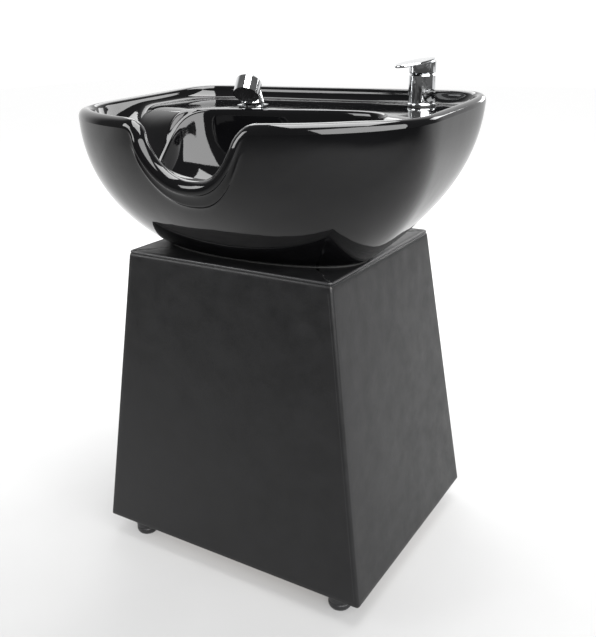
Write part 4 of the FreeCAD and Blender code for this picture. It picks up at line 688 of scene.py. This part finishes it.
def even_angles(count):
    """Angles spaced evenly along the rim's own length."""
    steps = count * 12
    fine = [-math.pi / 2 + 2 * math.pi * step / steps for step in range(steps + 1)]
    rim = [belly(angle, lip_fall(angle)) for angle in fine]
    run = [0.0]
    for before, here in zip(rim, rim[1:]):
        run.append(run[-1] + (here - before).length)
    found = []
    place = 0
    for number in range(count):
        goal = run[-1] * number / count
        while run[place + 1] < goal:
            place += 1
        share = (goal - run[place]) / (run[place + 1] - run[place])
        found.append(mix(fine[place], fine[place + 1], share))
    return found


glaze = new_finish("black_glaze", (0.0015, 0.0015, 0.0017), 0.045, IOR=1.45)
ripple = pattern(glaze, "ShaderNodeTexNoise", Scale=17, Detail=2, Roughness=0.4)
peel = pattern(glaze, "ShaderNodeTexNoise", Scale=210, Detail=2)
film = pattern(glaze, "ShaderNodeTexNoise", Scale=7, Detail=6, Roughness=0.6)
tint(glaze, film, (0.3, (0.0012, 0.0012, 0.0014)), (0.7, (0.0022, 0.0022, 0.0025)))
polish(glaze, film, 0.03, 0.075)
relief(glaze, ripple, 0.0011, 0.35)
relief(glaze, peel, 0.00004, 0.5)

basin_columns = [whole_column(angle) for angle in even_angles(168)]
basin_rings = [[place + Vector((0, centre_y, 0)) for place in ring] for ring in zip(*basin_columns)]
basin = finished("glazed_basin", lofted(basin_rings, closed=True), glaze,
                 replaced=["basin_bowl"], smooth_angle=None)
fairing = basin.modifiers.new("fairing", "SUBSURF")
fairing.levels = 1
fairing.render_levels = 1

rubber = new_finish("black_rubber", (0.014, 0.014, 0.014), 0.62)
bloom = pattern(rubber, "ShaderNodeTexNoise", Scale=300, Detail=5)
tint(rubber, bloom, (0.3, (0.010, 0.010, 0.010)), (0.75, (0.028, 0.028, 0.027)))
relief(rubber, bloom, 0.00008)
wear(rubber, "basin_seal")

# The drain: a chromed flange and a lift-out strainer with a small knob and eight holes.
# Below hang a locknut, a tailpiece and a curved trap in white moulded plastic.
# The waste pipe runs down inside the pedestal to the floor.
wear(chrome, "drain_body", "drain_strainer")
wear(rubber, "drain_gasket")
white_plastic = new_finish("white_moulded_plastic", (0.72, 0.72, 0.69), 0.35)
flow = pattern(white_plastic, "ShaderNodeTexNoise", Scale=35, Detail=4)
tint(white_plastic, flow, (0.3, (0.66, 0.66, 0.62)), (0.7, (0.76, 0.76, 0.73)))
polish(white_plastic, flow, 0.28, 0.42)
relief(white_plastic, flow, 0.0001)
wear(white_plastic, "drain_nut", "tail_nut", "tailpiece", "trap_nut_in", "trap_nut_out", "trap_bend",
     "waste_pipe")

# The mixer: a brass body under polished chrome on a wide base ring, with a lever that swings and lifts.
# The lever is a flat leaf on a short cap, tilted down towards its tip.
# A threaded shank and a locknut hold it under the deck, with two inlets and an outlet for the water.
brass = new_finish("raw_brass", (0.62, 0.42, 0.16), 0.28, Metallic=1.0)
tarnish = pattern(brass, "ShaderNodeTexNoise", Scale=60, Detail=6)
tint(brass, tarnish, (0.3, (0.42, 0.27, 0.10)), (0.7, (0.70, 0.50, 0.22)))
polish(brass, tarnish, 0.2, 0.42)
relief(brass, tarnish, 0.00004)
wear(brass, "cartridge_nut", "mixer_shank", "mixer_locknut", "mixer_outlet", "hot_inlet", "cold_inlet")
wear(steel, "lift_pin", "mixer_stem")
wear(white_plastic, "mixer_cartridge", "mixer_turret")
wear(rubber, "mixer_gasket")

mixer_middle = middle_of("mixer_body")
mixer_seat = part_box("mixer_base_ring")[0].z
ring_bore = 0.0165
ring_radius = 0.0250
ring_thick = 0.0050
ring_profile = rounded([(ring_bore, 0.0), (ring_radius, 0.0), (ring_radius, 0.0030), (0.0238, ring_thick),
                        (ring_bore, ring_thick)], 0.0014, 4)
ring_place = (mixer_middle.x, mixer_middle.y, mixer_seat)
finished("base_ring", spun(ring_profile + [ring_profile[0]], ring_place), chrome,
         replaced=["mixer_base_ring"])
wear(chrome, "mixer_body")
lever_pivot = 0.85572
lever_heading = math.radians(246)
lever_ahead = Vector((math.cos(lever_heading), math.sin(lever_heading), 0))
lever_beside = Vector((0, 0, 1)).cross(lever_ahead)
lever_top = 0.037
lever_slope = 0.139
lever_sides = 96
cap_radius = 0.0233
leaf_forward = 0.0178
# The round cap, from its hollow out and round its lower edge: radius, and height over the pivot
lever_cap = ((0.0040, 0.0192), (0.0062, 0.0192), (0.0068, 0.0206), (0.0214, 0.0206), (0.0220, 0.0200),
             (0.0220, 0.0126), (0.0226, 0.0120), (0.0232, 0.0126), (cap_radius, 0.0150))
# The sloping leaf, from under its edge to its middle: half length, half width, and height off the slope
lever_leaf = ((0.0400, 0.0224, -0.0042), (0.0409, 0.0233, -0.0034), (0.0412, 0.0236, -0.0020),
              (0.0409, 0.0233, -0.0006), (0.0402, 0.0226, 0), (0.0300, 0.0165, 0.0003),
              (0.0100, 0.0055, 0.0005), (0.0003, 0.0003, 0.0005))


def lever_ring(half_long, half_wide, forward, height, slope):
    """One ring of the lever, round an oval ahead of the pivot."""
    ring = []
    for step in range(lever_sides):
        swing = 2 * math.pi * step / lever_sides
        reach = forward + half_long * math.cos(swing)
        level = lever_pivot + height - (reach + cap_radius) * slope
        ring.append(Vector((mixer_middle.x, mixer_middle.y, level)) + lever_ahead * reach
                    + lever_beside * half_wide * math.sin(swing))
    return ring


lever_rings = [lever_ring(radius, radius, 0, height, 0) for radius, height in lever_cap]
lever_rings.append(lever_ring(cap_radius, cap_radius, 0, lever_top - 0.0050, lever_slope))
for half_long, half_wide, lift in lever_leaf:
    lever_rings.append(lever_ring(half_long, half_wide, leaf_forward, lever_top + lift, lever_slope))
finished("lever_plate", lofted(lever_rings, closed=True), chrome, body="lever",
         replaced=["mixer_lever"])

# The pull-out spray: a chromed bell on the deck, a guide, and a short spray head with a black face.
# The head leans forward over the bowl and comes off its guide on the hose.
# The face is moulded plastic with rings of small jets.
wear(chrome, "spray_holder", "spray_shell", "hose_nut")
wear(black_plastic, "spray_guide", "spray_face")
wear(rubber, "holder_gasket")
wear(brass, "holder_nut")

# The hose: woven metal wire over a soft bore, from the mixer's outlet to the spray.
# It runs down inside the pedestal in one loop below the trap.
# The weave is fine, with the dull gleam of steel wire.
hose_metal = new_finish("woven_hose", (0.5, 0.5, 0.5), 0.35, Metallic=1.0)
strand = pattern(hose_metal, "ShaderNodeTexWave", turn=(0.7, 0.2, 0.4), Scale=260, Distortion=0.4)
cross = pattern(hose_metal, "ShaderNodeTexWave", turn=(-0.7, 0.3, -0.4), Scale=260, Distortion=0.4)
tint(hose_metal, strand, (0.2, (0.30, 0.30, 0.30)), (0.8, (0.66, 0.66, 0.66)))
relief(hose_metal, strand, 0.0003)
relief(hose_metal, cross, 0.0003)
wear(hose_metal, "spray_hose")

# The studio: a plain grey floor with a painted glow that grows with distance away from the camera side, so it
# reads white behind the basin, a white surround and soft lamps.
# The key lamp stands at the front right, one hangs overhead, three stand behind and one at the front left.
# The camera stands to the right of the notch and looks down.
away = (-0.525, 0.851, 0)
floor = bmesh.new()
bmesh.ops.create_grid(floor, x_segments=1, y_segments=1, size=12)
floor_mesh = bpy.data.meshes.new("studio_floor")
floor.to_mesh(floor_mesh)
floor.free()
floor_finish = new_finish("floor_with_painted_glow", (0.22, 0.22, 0.22), 0.9, Emission_Color=(1, 1, 1, 1))
dust = pattern(floor_finish, "ShaderNodeTexNoise", Scale=3, Detail=3)
tint(floor_finish, dust, (0.3, (0.21, 0.21, 0.21)), (0.7, (0.23, 0.23, 0.23)))
spot = node_in(floor_finish, "ShaderNodeTexCoord")
depth = node_in(floor_finish, "ShaderNodeVectorMath")
depth.operation = "DOT_PRODUCT"
depth.inputs[1].default_value = away
# Painted glow: the floor's emission rises from nothing on the camera side to nearly full far behind, standing
# in for light falling on the floor.
glow = node_in(floor_finish, "ShaderNodeMapRange")
for socket, value in (("From Min", -0.9), ("From Max", 1.4), ("To Min", 0.0), ("To Max", 0.87)):
    glow.inputs[socket].default_value = value
floor_links = floor_finish.node_tree.links
floor_shader = floor_finish.node_tree.nodes["Principled BSDF"]
floor_links.new(spot.outputs["Object"], depth.inputs[0])
floor_links.new(depth.outputs["Value"], glow.inputs["Value"])
floor_links.new(glow.outputs["Result"], floor_shader.inputs["Emission Strength"])
floor_mesh.materials.append(floor_finish)
floor_piece = bpy.data.objects.new("studio_floor", floor_mesh)
bpy.context.scene.collection.objects.link(floor_piece)

world = bpy.data.worlds.new("studio")
world.use_nodes = True
world_nodes = world.node_tree.nodes
world_links = world.node_tree.links
heading = world_nodes.new("ShaderNodeTexCoord")
behind = world_nodes.new("ShaderNodeVectorMath")
behind.operation = "DOT_PRODUCT"
behind.inputs[1].default_value = away
span = world_nodes.new("ShaderNodeMapRange")
span.interpolation_type = "SMOOTHSTEP"
for socket, value in (("From Min", 0.35), ("From Max", 0.75), ("To Min", 0.16), ("To Max", 1.1)):
    span.inputs[socket].default_value = value
world_links.new(heading.outputs["Generated"], behind.inputs[0])
world_links.new(behind.outputs["Value"], span.inputs["Value"])
world_links.new(span.outputs["Result"], world_nodes["Background"].inputs["Strength"])
world_nodes["Background"].inputs["Color"].default_value = (1, 1, 1, 1)
bpy.context.scene.world = world


def lamp(name, place, aim, size, power):
    """A soft rectangular lamp turned towards a point."""
    light = bpy.data.lights.new(name, "AREA")
    light.shape = "RECTANGLE"
    light.size, light.size_y = size
    light.energy = power
    stand = bpy.data.objects.new(name, light)
    stand.location = place
    stand.rotation_euler = (Vector(aim) - Vector(place)).to_track_quat("-Z", "Y").to_euler()
    bpy.context.scene.collection.objects.link(stand)


rim_middle = (0, 0, 0.8)
lamp("lamp_above", (0.2, 0.1, 2.9), rim_middle, (2.2, 1.6), 130)
lamp("lamp_key", (2.37, -1.37, 2.02), rim_middle, (4.2, 2.4), 269)
lamp("lamp_right", (1.3, 2.2, 1.9), rim_middle, (0.8, 0.7), 14)
lamp("lamp_low", (0.38, 2.85, 1.32), rim_middle, (0.9, 0.45), 8)
lamp("lamp_behind", (-1.22, 1.74, 2.5), rim_middle, (1.8, 1.5), 32)
lamp("lamp_front", (-1.9, -1.9, 2.0), (0, 0, 0.7), (1.4, 1.1), 43)

yaw = 0.5529
pitch = 0.3562
roll = -0.0211
picture_height = 637
focal_pixels = 777.4
camera_place = Vector((0.74224, -1.15759 + centre_y, 0.94142))
towards = Vector((math.sin(yaw) * math.cos(pitch), -math.cos(yaw) * math.cos(pitch), math.sin(pitch)))
level_right = Vector((math.cos(yaw), math.sin(yaw), 0))
level_up = level_right.cross(-towards)
right = level_right * math.cos(roll) + level_up * math.sin(roll)
above = level_up * math.cos(roll) - level_right * math.sin(roll)
camera_data = bpy.data.cameras.new("camera")
camera_data.sensor_fit = "AUTO"
camera_data.sensor_width = 36
camera_data.lens = focal_pixels * camera_data.sensor_width / picture_height
camera = bpy.data.objects.new("camera", camera_data)
turned = Matrix((right, above, towards)).transposed().to_4x4()
camera.matrix_world = Matrix.Translation(camera_place) @ turned
bpy.context.scene.collection.objects.link(camera)
bpy.context.scene.camera = camera
bpy.context.scene.view_settings.view_transform = "Standard"
